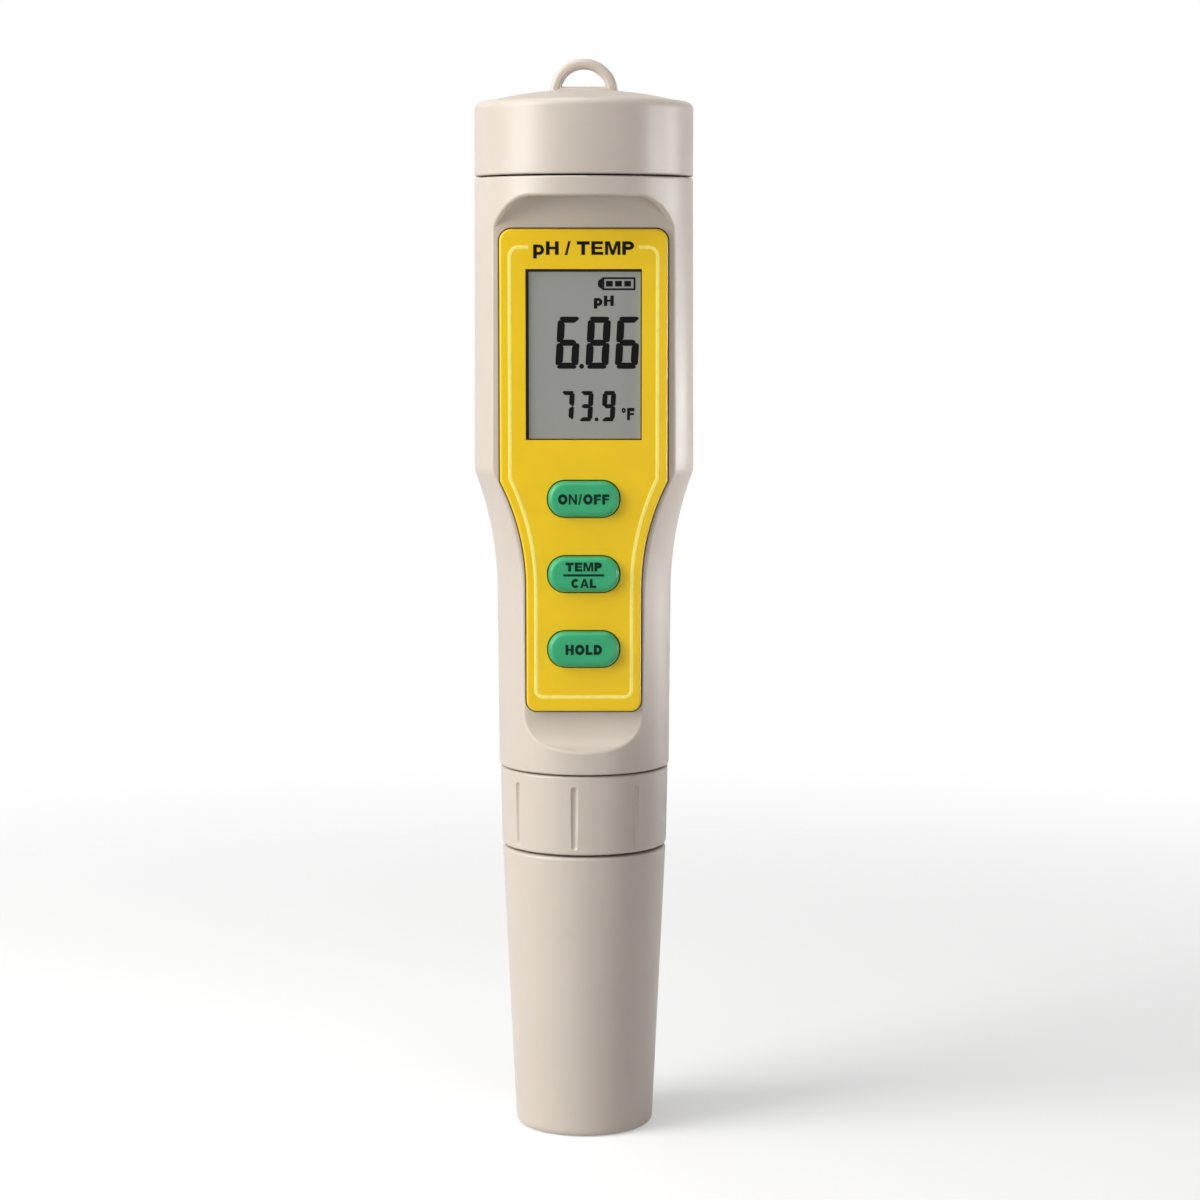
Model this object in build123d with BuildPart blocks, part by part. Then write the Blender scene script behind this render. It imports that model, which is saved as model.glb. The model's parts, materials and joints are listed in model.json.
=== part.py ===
from build123d import *

import os

# Pen-type digital pH meter, standing on its storage cap. The origin is the centre of the
# cap's base, +Z runs up the meter's axis and the display faces -Y. Lengths are in
# millimetres, and a height is always measured from the base.

# Seams and ends along the axis
TOTAL_HEIGHT = 188.0
SEAM = 0.3
CAP_TOP = 50.3
COLLAR_BOTTOM = 50.7
COLLAR_TOP = 64.55
BODY_BOTTOM = COLLAR_TOP + SEAM
BODY_TOP = 167.45
LID_BOTTOM = BODY_TOP + SEAM

# Outer radii
CAP_BASE_R = 12.1
CAP_RIM_R = 14.45
COLLAR_BOTTOM_R = 14.5
COLLAR_TOP_R = 14.8
GRIP_BOTTOM_R = 15.0
GRIP_TOP_R = 15.25
HEAD_CREASE_R = 19.2
HEAD_TOP_R = 19.0
GRIP_TOP_Z = 95.5
CREASE_Z = 116.9
WALL = 2.0

# Flat front pocket and what lies in it
FLOOR_Y = -11.0
FACEPLATE_T = 1.0
POCKET_TOP = 164.1
POCKET_BOTTOM = 75.0
POCKET_HALF_W = 15.75
POCKET_ARCH_W = 7.0
POCKET_ARCH_H = 10.5
POCKET_RIM_R = 0.5
SCOOP_R = 6.8
INNER_WALL_Y = FLOOR_Y + WALL

# Display
LCD_Z = 137.2
LCD_W = 19.9
LCD_H = 29.2
WINDOW_SUNK = 0.6

# Keys, from the top down
KEY_NAMES = ("power", "cal", "hold")
KEY_Z = (112.5, 99.5, 86.5)
KEY_W = 12.3
KEY_H = 6.2
KEY_R = 2.95
KEY_PROUD = 1.3
KEY_GAP = 0.2
KEY_TRAVEL = 0.4
FLANGE_EXTRA = 1.7

# Union thread between collar and housing, and thread between battery cap and neck
PITCH = 3.0
RIDGE_ROOT_W = 1.3
RIDGE_TIP_W = 0.7
RIDGE_EMBED = 0.3
UNION_CORE_R = 11.7
UNION_TIP_R = 12.65
COLLAR_BORE_R = 13.0
COLLAR_TIP_R = 12.25
UNION_START_Z = 56.0
UNION_RIDGE_H = 4.5
NECK_CORE_R = 15.7
NECK_TIP_R = 16.6
LID_BORE_R = 17.05
LID_TIP_R = 16.15
NECK_START_Z = 170.7
NECK_RIDGE_H = 3.0
NECK_TOP = 174.5

# Electrode module
SPIGOT_R = 10.85
PLUG_R = 9.5
PLUG_TOP = 62.0
PLUG_BORE_R = 9.8
STEM_R = 7.0
STEM_BORE_R = 5.9
STEM_BOTTOM = 24.0
GUARD_BOTTOM = 16.5
BULB_X = -1.2
BULB_R = 3.4
BULB_Z = 20.4
PROBE_X = 4.2
PIN_CIRCLE_R = 3.5
PIN_R = 0.5

# Circuit board and cells
PCB_FRONT_Y = -3.4
PCB_T = 1.6
PCB_BACK_Y = PCB_FRONT_Y + PCB_T
CELL_R = 5.8
CELL_H = 5.4
CELL_GAP = 0.02
CELL_Y = 6.0
CELL_START_Z = 151.0
HOLDER_R = 7.2
HOLDER_FLOOR_Z = 147.0

CLEAR = 0.05

os.makedirs("parts", exist_ok=True)


def front(y):
    """Plane facing -Y through the given y, with its own x along X and y along Z."""
    return Plane.XZ.offset(-y)


def ring(outer_r, inner_r, bottom_z, top_z):
    """Plain ring about the Z axis."""
    with BuildPart() as body:
        with BuildSketch(Plane.XY.offset(bottom_z)):
            Circle(outer_r)
            Circle(inner_r, mode=Mode.SUBTRACT)
        extrude(amount=top_z - bottom_z)
    return body.part


def rod(x, y, radius, bottom_z, top_z):
    """Plain upright cylinder."""
    with BuildPart() as body:
        with BuildSketch(Plane.XY.offset(bottom_z)):
            with Locations((x, y)):
                Circle(radius)
        extrude(amount=top_z - bottom_z)
    return body.part


def o_ring(major_r, minor_r, z):
    """Round-section seal about the Z axis."""
    with BuildPart() as body:
        with Locations((0, 0, z)):
            Torus(major_r, minor_r)
    return body.part


def block(width, height, front_y, back_y, x, z):
    """Box whose front face lies at front_y and back face at back_y."""
    with BuildPart() as body:
        with BuildSketch(front(back_y)):
            with Locations((x, z)):
                Rectangle(width, height)
        extrude(amount=back_y - front_y)
    return body.part


def thread_ridge(root_r, tip_r, start_z, height):
    """One right-hand helical thread ridge, standing from root_r to tip_r."""
    with BuildPart() as ridge:
        with BuildLine() as path:
            Helix(PITCH, height, (root_r + tip_r) / 2, center=(0, 0, start_z))
        with BuildSketch(Plane.XZ):
            with BuildLine():
                Polyline(
                    (root_r, start_z - RIDGE_ROOT_W / 2),
                    (tip_r, start_z - RIDGE_TIP_W / 2),
                    (tip_r, start_z + RIDGE_TIP_W / 2),
                    (root_r, start_z + RIDGE_ROOT_W / 2),
                    close=True,
                )
            make_face()
        sweep(path=path.line, is_frenet=True)
    return ridge.part


def key_cut(extra):
    """Rounded key outline, grown by extra all round, at each key's height."""
    for z in KEY_Z:
        with Locations((0, z)):
            RectangleRounded(KEY_W + 2 * extra, KEY_H + 2 * extra, KEY_R + extra)


# ---------------------------------------------------------------- storage cap body

CAP_BASE_ROUND = 1.3
CAP_RIM_ROUND = 0.6
CAP_FLOOR_R = 10.1
CAP_WELL_R = 11.6
CAP_FLOOR = 2.5
SLEEVE_BOTTOM = 42.0
MOUTH_R = 12.3

with BuildPart() as storage_cap:
    with BuildSketch(Plane.XZ):
        with BuildLine():
            Polyline((0, 0), (CAP_BASE_R, 0), (CAP_RIM_R, CAP_TOP), (0, CAP_TOP), close=True)
        make_face()
    revolve(axis=Axis.Z)
    fillet(storage_cap.edges().group_by(Axis.Z)[0], CAP_BASE_ROUND)
    fillet(storage_cap.edges().group_by(Axis.Z)[-1], CAP_RIM_ROUND)
    with BuildSketch(Plane.XZ):
        with BuildLine():
            Polyline(
                (0, CAP_FLOOR),
                (CAP_FLOOR_R, CAP_FLOOR),
                (CAP_WELL_R, SLEEVE_BOTTOM),
                (MOUTH_R, SLEEVE_BOTTOM),
                (MOUTH_R, CAP_TOP),
                (0, CAP_TOP),
                close=True,
            )
        make_face()
    revolve(axis=Axis.Z, mode=Mode.SUBTRACT)
storage_cap.part.label = "storage_cap"
export_step(storage_cap.part, "parts/storage_cap.step")

# Rubber sleeve in the cap's mouth, which grips the spigot and keeps the bulb wet.
SLEEVE_TOP = 49.6
SLEEVE_BORE_R = 10.95
SLEEVE_LEAD_IN = 0.4
with BuildPart() as cap_seal:
    add(ring(MOUTH_R - CLEAR, SLEEVE_BORE_R, SLEEVE_BOTTOM + CLEAR, SLEEVE_TOP))
    mouth_edge = cap_seal.edges().group_by(Axis.Z)[-1].sort_by(SortBy.RADIUS)[0]
    chamfer(mouth_edge, SLEEVE_LEAD_IN)
cap_seal.part.label = "cap_seal"
export_step(cap_seal.part, "parts/cap_seal.step")

SPONGE_R = 9.9
SPONGE_TOP = 10.0
SPONGE_ROUND = 1.0
with BuildPart() as storage_sponge:
    add(rod(0, 0, SPONGE_R, CAP_FLOOR + CLEAR, SPONGE_TOP))
    fillet(storage_sponge.edges().group_by(Axis.Z)[-1], SPONGE_ROUND)
storage_sponge.part.label = "storage_sponge"
export_step(storage_sponge.part, "parts/storage_sponge.step")

# ---------------------------------------------------------------- electrode body

SPIGOT_BOTTOM = 43.0
FLANGE_BOTTOM = 52.35
FLANGE_TOP = 54.3
FLANGE_R = 12.0
GROOVE_Z = 58.0
GROOVE_FLOOR_R = 8.2
GROOVE_HALF = 0.85
HEADER_BOTTOM = 59.6
HEADER_R = 7.95
PIN_TOP = 66.0
SPIGOT_LEAD_IN = 0.8
CARRIER_BORE_R = 6.0
STEM_SEAT = 52.0

with BuildPart() as electrode_carrier:
    with BuildSketch(Plane.XZ):
        with BuildLine():
            Polyline(
                (STEM_R + CLEAR, SPIGOT_BOTTOM),
                (SPIGOT_R - SPIGOT_LEAD_IN, SPIGOT_BOTTOM),
                (SPIGOT_R, SPIGOT_BOTTOM + SPIGOT_LEAD_IN),
                (SPIGOT_R, FLANGE_BOTTOM),
                (FLANGE_R, FLANGE_BOTTOM),
                (FLANGE_R, FLANGE_TOP),
                (PLUG_R, FLANGE_TOP),
                (PLUG_R, GROOVE_Z - GROOVE_HALF),
                (GROOVE_FLOOR_R, GROOVE_Z - GROOVE_HALF),
                (GROOVE_FLOOR_R, GROOVE_Z + GROOVE_HALF),
                (PLUG_R, GROOVE_Z + GROOVE_HALF),
                (PLUG_R, PLUG_TOP),
                (HEADER_R + CLEAR, PLUG_TOP),
                (HEADER_R + CLEAR, HEADER_BOTTOM - CLEAR),
                (CARRIER_BORE_R, HEADER_BOTTOM - CLEAR),
                (CARRIER_BORE_R, STEM_SEAT),
                (STEM_R + CLEAR, STEM_SEAT),
                close=True,
            )
        make_face()
    revolve(axis=Axis.Z)
electrode_carrier.part.label = "electrode_carrier"
export_step(electrode_carrier.part, "parts/electrode_carrier.step")

# Seals: the line through the middle of the section, and the section's radius.
PLUG_SEAL = (8.98, 0.72)
NECK_SEAL = (16.22, 0.44)
carrier_o_ring = o_ring(*PLUG_SEAL, GROOVE_Z)
carrier_o_ring.label = "carrier_o_ring"
export_step(carrier_o_ring, "parts/carrier_o_ring.step")

with BuildPart() as electrode_tube:
    add(ring(STEM_R, STEM_BORE_R, STEM_BOTTOM, STEM_SEAT - 0.1))
electrode_tube.part.label = "electrode_tube"
export_step(electrode_tube.part, "parts/electrode_tube.step")

# Slotted guard that stands below the bulb.
GUARD_WALL = 0.9
GUARD_SLOT_W = 4.2
GUARD_SLOT_H = 5.5
with BuildPart() as bulb_guard:
    add(ring(STEM_R, STEM_R - GUARD_WALL, GUARD_BOTTOM, STEM_BOTTOM))
    with BuildSketch(Plane.XY.offset(GUARD_BOTTOM)):
        with PolarLocations(STEM_R, 4, 45):
            Rectangle(4 * GUARD_WALL, GUARD_SLOT_W)
    extrude(amount=GUARD_SLOT_H, mode=Mode.SUBTRACT)
bulb_guard.part.label = "bulb_guard"
export_step(bulb_guard.part, "parts/bulb_guard.step")

# Glass stem blown out to a thin bulb at its lower end.
GLASS_STEM_R = 2.2
GLASS_STEM_BORE_R = 1.5
GLASS_WALL = 0.4
GLASS_TOP = 56.0
with BuildPart() as glass_electrode:
    with Locations((BULB_X, 0, BULB_Z)):
        Sphere(BULB_R)
    add(rod(BULB_X, 0, GLASS_STEM_R, BULB_Z, GLASS_TOP))
    with Locations((BULB_X, 0, BULB_Z)):
        Sphere(BULB_R - GLASS_WALL, mode=Mode.SUBTRACT)
    add(rod(BULB_X, 0, GLASS_STEM_BORE_R, BULB_Z, GLASS_TOP), mode=Mode.SUBTRACT)
glass_electrode.part.label = "glass_electrode"
export_step(glass_electrode.part, "parts/glass_electrode.step")

JUNCTION_TOP = 27.0
PROBE_R = 1.0
with BuildPart() as reference_junction:
    add(rod(0, 0, STEM_BORE_R - CLEAR, STEM_BOTTOM + CLEAR, JUNCTION_TOP))
    add(rod(BULB_X, 0, GLASS_STEM_R + CLEAR, STEM_BOTTOM, JUNCTION_TOP), mode=Mode.SUBTRACT)
    add(rod(PROBE_X, 0, PROBE_R + CLEAR, STEM_BOTTOM, JUNCTION_TOP), mode=Mode.SUBTRACT)
reference_junction.part.label = "reference_junction"
export_step(reference_junction.part, "parts/reference_junction.step")

PROBE_BOTTOM = 17.6
PROBE_TOP = 34.0
PROBE_TIP_ROUND = 0.9
with BuildPart() as temperature_probe:
    add(rod(PROBE_X, 0, PROBE_R, PROBE_BOTTOM, PROBE_TOP))
    fillet(temperature_probe.edges().group_by(Axis.Z)[0], PROBE_TIP_ROUND)
temperature_probe.part.label = "temperature_probe"
export_step(temperature_probe.part, "parts/temperature_probe.step")

# The two electrode wires: one down into the bulb, one in the reference gel.
WIRE_R = 0.35
WIRE_TOP = HEADER_BOTTOM - 2 * CLEAR
BULB_WIRE_BOTTOM = 19.0
REFERENCE_WIRE_BOTTOM = 30.0
REFERENCE_WIRE_Y = 4.2
silver_wire = rod(BULB_X, 0, WIRE_R, BULB_WIRE_BOTTOM, WIRE_TOP)
silver_wire.label = "silver_wire"
export_step(silver_wire, "parts/silver_wire.step")

reference_wire = rod(0, REFERENCE_WIRE_Y, WIRE_R, REFERENCE_WIRE_BOTTOM, WIRE_TOP)
reference_wire.label = "reference_wire"
export_step(reference_wire, "parts/reference_wire.step")

HEADER_TOP = PLUG_TOP - 0.1
PIN_TIP_ROUND = 0.3
pin_header = rod(0, 0, HEADER_R, HEADER_BOTTOM, HEADER_TOP)
pin_header.label = "pin_header"
export_step(pin_header, "parts/pin_header.step")

with BuildPart() as connector_pins:
    with BuildSketch(Plane.XY.offset(HEADER_TOP)):
        with PolarLocations(PIN_CIRCLE_R, 4):
            Circle(PIN_R)
    extrude(amount=PIN_TOP - HEADER_TOP)
    fillet(connector_pins.edges().group_by(Axis.Z)[-1], PIN_TIP_ROUND)
connector_pins.part.label = "connector_pins"
export_step(connector_pins.part, "parts/connector_pins.step")

# ---------------------------------------------------------------- collar body

LIP_TOP = 52.3
LIP_R = 11.25
COLLAR_EDGE_R = 0.45
GROOVE_COUNT = 8
GROOVE_TURN = -96.5
GROOVE_TOOL_R = 0.55
GROOVE_TOOL_SINK = 0.42
GRIP_EDGE_R = 0.2
GRIP_GROOVE_BOTTOM = 51.6
GRIP_GROOVE_TOP = 62.7

# Eight round-ended milling passes, which follow the collar's slight taper.
groove_z = (GRIP_GROOVE_BOTTOM + GRIP_GROOVE_TOP) / 2
collar_slope = (COLLAR_TOP_R - COLLAR_BOTTOM_R) / (COLLAR_TOP - COLLAR_BOTTOM)
groove_axis_r = COLLAR_BOTTOM_R + collar_slope * (groove_z - COLLAR_BOTTOM)
groove_axis_r += GROOVE_TOOL_R - GROOVE_TOOL_SINK
groove_length = GRIP_GROOVE_TOP - GRIP_GROOVE_BOTTOM
end_height = groove_length / 2 - GROOVE_TOOL_R
with BuildPart() as grip_groove:
    Cylinder(GROOVE_TOOL_R, 2 * end_height)
    with Locations((0, 0, -end_height), (0, 0, end_height)):
        Sphere(GROOVE_TOOL_R)


def on_collar_skin(edge):
    """True for an edge that lies on the collar's tapered outside."""
    middle = edge @ 0.5
    skin_r = COLLAR_BOTTOM_R + collar_slope * (middle.Z - COLLAR_BOTTOM)
    return abs(Vector(middle.X, middle.Y).length - skin_r) < 0.02


with BuildPart() as collar_nut:
    with BuildSketch(Plane.XZ):
        with BuildLine():
            Polyline(
                (0, COLLAR_BOTTOM),
                (COLLAR_BOTTOM_R, COLLAR_BOTTOM),
                (COLLAR_TOP_R, COLLAR_TOP),
                (0, COLLAR_TOP),
                close=True,
            )
        make_face()
    revolve(axis=Axis.Z)
    fillet(collar_nut.edges().filter_by(GeomType.CIRCLE), COLLAR_EDGE_R)
    with Locations((0, 0, groove_z)):
        with PolarLocations(groove_axis_r, GROOVE_COUNT, GROOVE_TURN):
            add(grip_groove.part, mode=Mode.SUBTRACT)
    groove_rims = collar_nut.edges().filter_by(lambda e: e.geom_type != GeomType.CIRCLE)
    fillet(groove_rims.filter_by(on_collar_skin), GRIP_EDGE_R)
    add(rod(0, 0, LIP_R, COLLAR_BOTTOM, COLLAR_TOP), mode=Mode.SUBTRACT)
    add(rod(0, 0, COLLAR_BORE_R, LIP_TOP, COLLAR_TOP), mode=Mode.SUBTRACT)
    add(
        thread_ridge(
            COLLAR_BORE_R + RIDGE_EMBED,
            COLLAR_TIP_R,
            UNION_START_Z + PITCH / 2,
            UNION_RIDGE_H,
        )
    )
collar_nut.part.label = "collar_nut"
export_step(collar_nut.part, "parts/collar_nut.step")

# ---------------------------------------------------------------- housing body

PLUG_BORE_TOP = 64.0
CAVITY_BOTTOM = 67.0
SOCKET_HOLE_R = 6.0
CAVITY_GRIP_R = 13.0
CAVITY_HEAD_R = 17.0
CAVITY_FLAT_TOP = 166.0
NECK_RING_BOTTOM = 166.05
FRONT_DEPTH = 12.0

# The pocket is one flat cut across the round body, arched above and scooped below.
with BuildPart() as pocket:
    with BuildSketch(Plane.YZ.offset(-POCKET_HALF_W)):
        with BuildLine():
            floor_line = Line((FLOOR_Y, POCKET_BOTTOM), (FLOOR_Y, POCKET_TOP))
            top_line = Line(floor_line @ 1, (FLOOR_Y - FRONT_DEPTH, POCKET_TOP))
            side_line = Line(top_line @ 1, (FLOOR_Y - FRONT_DEPTH, POCKET_BOTTOM - SCOOP_R))
            scoop_line = Line(side_line @ 1, (FLOOR_Y - SCOOP_R, POCKET_BOTTOM - SCOOP_R))
            RadiusArc(scoop_line @ 1, floor_line @ 0, -SCOOP_R)
        make_face()
    extrude(amount=2 * POCKET_HALF_W)
    arch_x = POCKET_HALF_W - POCKET_ARCH_W
    arch_z = POCKET_TOP - POCKET_ARCH_H
    pocket_foot_z = POCKET_BOTTOM - SCOOP_R
    with BuildSketch(front(FLOOR_Y)):
        with Locations((0, (arch_z + pocket_foot_z) / 2)):
            Rectangle(2 * POCKET_HALF_W, arch_z - pocket_foot_z)
        with Locations((0, arch_z + POCKET_ARCH_H / 2)):
            Rectangle(2 * arch_x, POCKET_ARCH_H)
        with Locations((-arch_x, arch_z), (arch_x, arch_z)):
            Ellipse(POCKET_ARCH_W, POCKET_ARCH_H)
    extrude(amount=FRONT_DEPTH, mode=Mode.INTERSECT)

# Inner space above the partition, flat at the front behind the pocket.
with BuildPart() as cavity:
    with BuildSketch(Plane.XZ):
        with BuildLine():
            grip_wall = Line((CAVITY_GRIP_R, CAVITY_BOTTOM), (CAVITY_GRIP_R, GRIP_TOP_Z + 1))
            waist = TangentArc(
                grip_wall @ 1, (CAVITY_HEAD_R, CREASE_Z + 1.5), tangent=(0, 1)
            )
            Polyline(
                waist @ 1,
                (CAVITY_HEAD_R, BODY_TOP),
                (0, BODY_TOP),
                (0, CAVITY_BOTTOM),
                grip_wall @ 0,
            )
        make_face()
    revolve(axis=Axis.Z)
    with BuildSketch(Plane.XY.offset(CAVITY_BOTTOM)):
        with Locations((0, INNER_WALL_Y - FRONT_DEPTH / 2)):
            Rectangle(2 * HEAD_CREASE_R, FRONT_DEPTH)
    extrude(amount=CAVITY_FLAT_TOP - CAVITY_BOTTOM, mode=Mode.SUBTRACT)

SEAM_EDGE_R = 0.35
CREASE_R = 3.0
UNION_BOTTOM = FLANGE_TOP + 0.1
WINDOW_FLANGE = 0.75
WINDOW_SEAT_DEPTH = 0.65


def on_pocket_rim(edge):
    """True for an edge where the pocket breaks the round outside of the housing."""
    samples = [edge @ share for share in (0, 0.5, 1)]
    least_r = GRIP_BOTTOM_R - 0.1
    return all(
        point.Y < FLOOR_Y + 0.01
        and Vector(point.X, point.Y).length > least_r
        and BODY_BOTTOM + 1 < point.Z < POCKET_TOP + 0.1
        for point in samples
    )


with BuildPart() as housing_shell:
    with BuildSketch(Plane.XZ):
        with BuildLine():
            Polyline(
                (0, UNION_BOTTOM),
                (UNION_CORE_R, UNION_BOTTOM),
                (UNION_CORE_R, BODY_BOTTOM),
                (GRIP_BOTTOM_R, BODY_BOTTOM),
                (GRIP_TOP_R, GRIP_TOP_Z),
            )
            waist = TangentArc(
                (GRIP_TOP_R, GRIP_TOP_Z), (HEAD_CREASE_R, CREASE_Z), tangent=(0, 1)
            )
            Polyline(
                waist @ 1,
                (HEAD_TOP_R, BODY_TOP),
                (0, BODY_TOP),
                (0, UNION_BOTTOM),
            )
        make_face()
    revolve(axis=Axis.Z)
    hoops = housing_shell.edges().filter_by(GeomType.CIRCLE).filter_by(
        lambda hoop: hoop.radius > GRIP_BOTTOM_R - 0.1
    )
    fillet(hoops.filter_by_position(Axis.Z, CREASE_Z - 1, CREASE_Z + 1), CREASE_R)
    fillet(hoops.sort_by(Axis.Z)[-1], SEAM_EDGE_R)
    fillet(hoops.sort_by(Axis.Z)[0], SEAM_EDGE_R)
    add(pocket.part, mode=Mode.SUBTRACT)
    fillet(housing_shell.edges().filter_by(on_pocket_rim), POCKET_RIM_R)
    add(cavity.part, mode=Mode.SUBTRACT)
    add(rod(0, 0, PLUG_BORE_R, FLANGE_TOP, PLUG_BORE_TOP), mode=Mode.SUBTRACT)
    add(rod(0, 0, SOCKET_HOLE_R, PLUG_BORE_TOP, CAVITY_BOTTOM), mode=Mode.SUBTRACT)
    with BuildSketch(front(FLOOR_Y)):
        with Locations((0, LCD_Z)):
            Rectangle(LCD_W + 2 * (WINDOW_FLANGE + 0.2), LCD_H + 2 * (WINDOW_FLANGE + 0.2))
    extrude(amount=-WINDOW_SEAT_DEPTH, mode=Mode.SUBTRACT)
    with BuildSketch(front(FLOOR_Y)):
        with Locations((0, LCD_Z)):
            Rectangle(LCD_W + 2 * CLEAR, LCD_H + 2 * CLEAR)
        key_cut(KEY_GAP)
    extrude(amount=-WALL, mode=Mode.SUBTRACT)
    add(thread_ridge(UNION_CORE_R - RIDGE_EMBED, UNION_TIP_R, UNION_START_Z, UNION_RIDGE_H))
housing_shell.part.label = "housing_shell"
export_step(housing_shell.part, "parts/housing_shell.step")

# Threaded neck, welded into the top of the housing, with a shoulder flush with its rim.
NECK_BORE_R = 13.5
NECK_LEAD_IN = 0.4
with BuildPart() as neck_ring:
    add(ring(CAVITY_HEAD_R - CLEAR, NECK_BORE_R, NECK_RING_BOTTOM, BODY_TOP))
    add(ring(NECK_CORE_R, NECK_BORE_R, BODY_TOP, NECK_TOP))
    chamfer(neck_ring.edges().group_by(Axis.Z)[-1], NECK_LEAD_IN)
    add(thread_ridge(NECK_CORE_R - RIDGE_EMBED, NECK_TIP_R, NECK_START_Z, NECK_RIDGE_H))
neck_ring.part.label = "neck_ring"
export_step(neck_ring.part, "parts/neck_ring.step")

neck_o_ring = o_ring(*NECK_SEAL, BODY_TOP + NECK_SEAL[1] + CLEAR)
neck_o_ring.label = "neck_o_ring"
export_step(neck_o_ring, "parts/neck_o_ring.step")

# Faceplate outline: straight head, a waist that follows the body, straight grip.
PLATE_TOP = 158.6
PLATE_BOTTOM = 75.6
PLATE_HEAD_W = 14.4
PLATE_GRIP_W = 9.9
PLATE_CREASE_Z = 115.5
PLATE_WAIST_Z = 97.0
PLATE_EDGE_R = 0.4
PLATE_TOP_CORNER_R = 2.1
PLATE_BOTTOM_CORNER_R = 1.8
with BuildPart() as faceplate:
    with BuildSketch(front(FLOOR_Y)):
        with BuildLine():
            Line((0, PLATE_TOP), (PLATE_HEAD_W, PLATE_TOP))
            Line((PLATE_HEAD_W, PLATE_TOP), (PLATE_HEAD_W, PLATE_CREASE_Z))
            TangentArc(
                (PLATE_GRIP_W, PLATE_WAIST_Z),
                (PLATE_HEAD_W, PLATE_CREASE_Z),
                tangent=(0, 1),
            )
            Line((PLATE_GRIP_W, PLATE_WAIST_Z), (PLATE_GRIP_W, PLATE_BOTTOM))
            Line((PLATE_GRIP_W, PLATE_BOTTOM), (0, PLATE_BOTTOM))
            mirror(about=Plane.YZ)
        make_face()
    extrude(amount=FACEPLATE_T)
    corners = faceplate.edges().filter_by(Axis.Y)
    fillet(corners.group_by(Axis.Z)[-1], PLATE_TOP_CORNER_R)
    fillet(corners.group_by(Axis.Z)[0], PLATE_BOTTOM_CORNER_R)
    fillet(faceplate.faces().sort_by(Axis.Y)[0].edges(), PLATE_EDGE_R)
    with BuildSketch(front(FLOOR_Y)):
        with Locations((0, LCD_Z)):
            Rectangle(LCD_W, LCD_H)
        key_cut(KEY_GAP)
    extrude(amount=FACEPLATE_T, mode=Mode.SUBTRACT)
faceplate.part.label = "faceplate"
export_step(faceplate.part, "parts/faceplate.step")

# Clear window: a flange behind the faceplate and a raised centre in its opening.
WINDOW_Y = FLOOR_Y - FACEPLATE_T + WINDOW_SUNK
WINDOW_FLANGE_W = LCD_W + 2 * WINDOW_FLANGE
WINDOW_FLANGE_H = LCD_H + 2 * WINDOW_FLANGE
WINDOW_BACK_Y = FLOOR_Y + WINDOW_SEAT_DEPTH - CLEAR
with BuildPart() as lcd_window:
    add(block(WINDOW_FLANGE_W, WINDOW_FLANGE_H, FLOOR_Y + 0.02, WINDOW_BACK_Y, 0, LCD_Z))
    add(block(LCD_W - 2 * CLEAR, LCD_H - 2 * CLEAR, WINDOW_Y, WINDOW_BACK_Y, 0, LCD_Z))
lcd_window.part.label = "lcd_window"
export_step(lcd_window.part, "parts/lcd_window.step")

GLASS_FRONT_Y = WINDOW_BACK_Y + 0.1
GLASS_T = 1.8
GLASS_BACK_Y = GLASS_FRONT_Y + GLASS_T
GLASS_W = LCD_W - 0.3
GLASS_H = LCD_H - 0.3
lcd_glass = block(GLASS_W, GLASS_H, GLASS_FRONT_Y, GLASS_BACK_Y, 0, LCD_Z)
lcd_glass.label = "lcd_glass"
export_step(lcd_glass, "parts/lcd_glass.step")

BEHIND_GLASS_Y = GLASS_BACK_Y + CLEAR
REFLECTOR_W = 18.6
REFLECTOR_H = 25.0
REFLECTOR_BACK_Y = BEHIND_GLASS_Y + 0.4
lcd_reflector = block(REFLECTOR_W, REFLECTOR_H, BEHIND_GLASS_Y, REFLECTOR_BACK_Y, 0, LCD_Z)
lcd_reflector.label = "lcd_reflector"
export_step(lcd_reflector, "parts/lcd_reflector.step")

FRAME_BACK_Y = PCB_FRONT_Y - CLEAR
FRAME_OUTER = (24.0, 32.6)
FRAME_INNER = (19.2, 29.8)
with BuildPart() as lcd_frame:
    add(block(*FRAME_OUTER, BEHIND_GLASS_Y, FRAME_BACK_Y, 0, LCD_Z))
    add(block(*FRAME_INNER, BEHIND_GLASS_Y, FRAME_BACK_Y, 0, LCD_Z), mode=Mode.SUBTRACT)
lcd_frame.part.label = "lcd_frame"
export_step(lcd_frame.part, "parts/lcd_frame.step")

ZEBRA_T = 1.6
ZEBRA_OFFSET = 13.8
with BuildPart() as zebra_strips:
    for offset_z in (ZEBRA_OFFSET, -ZEBRA_OFFSET):
        add(block(REFLECTOR_W, ZEBRA_T, BEHIND_GLASS_Y, FRAME_BACK_Y, 0, LCD_Z + offset_z))
zebra_strips.part.label = "zebra_strips"
export_step(zebra_strips.part, "parts/zebra_strips.step")

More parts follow.
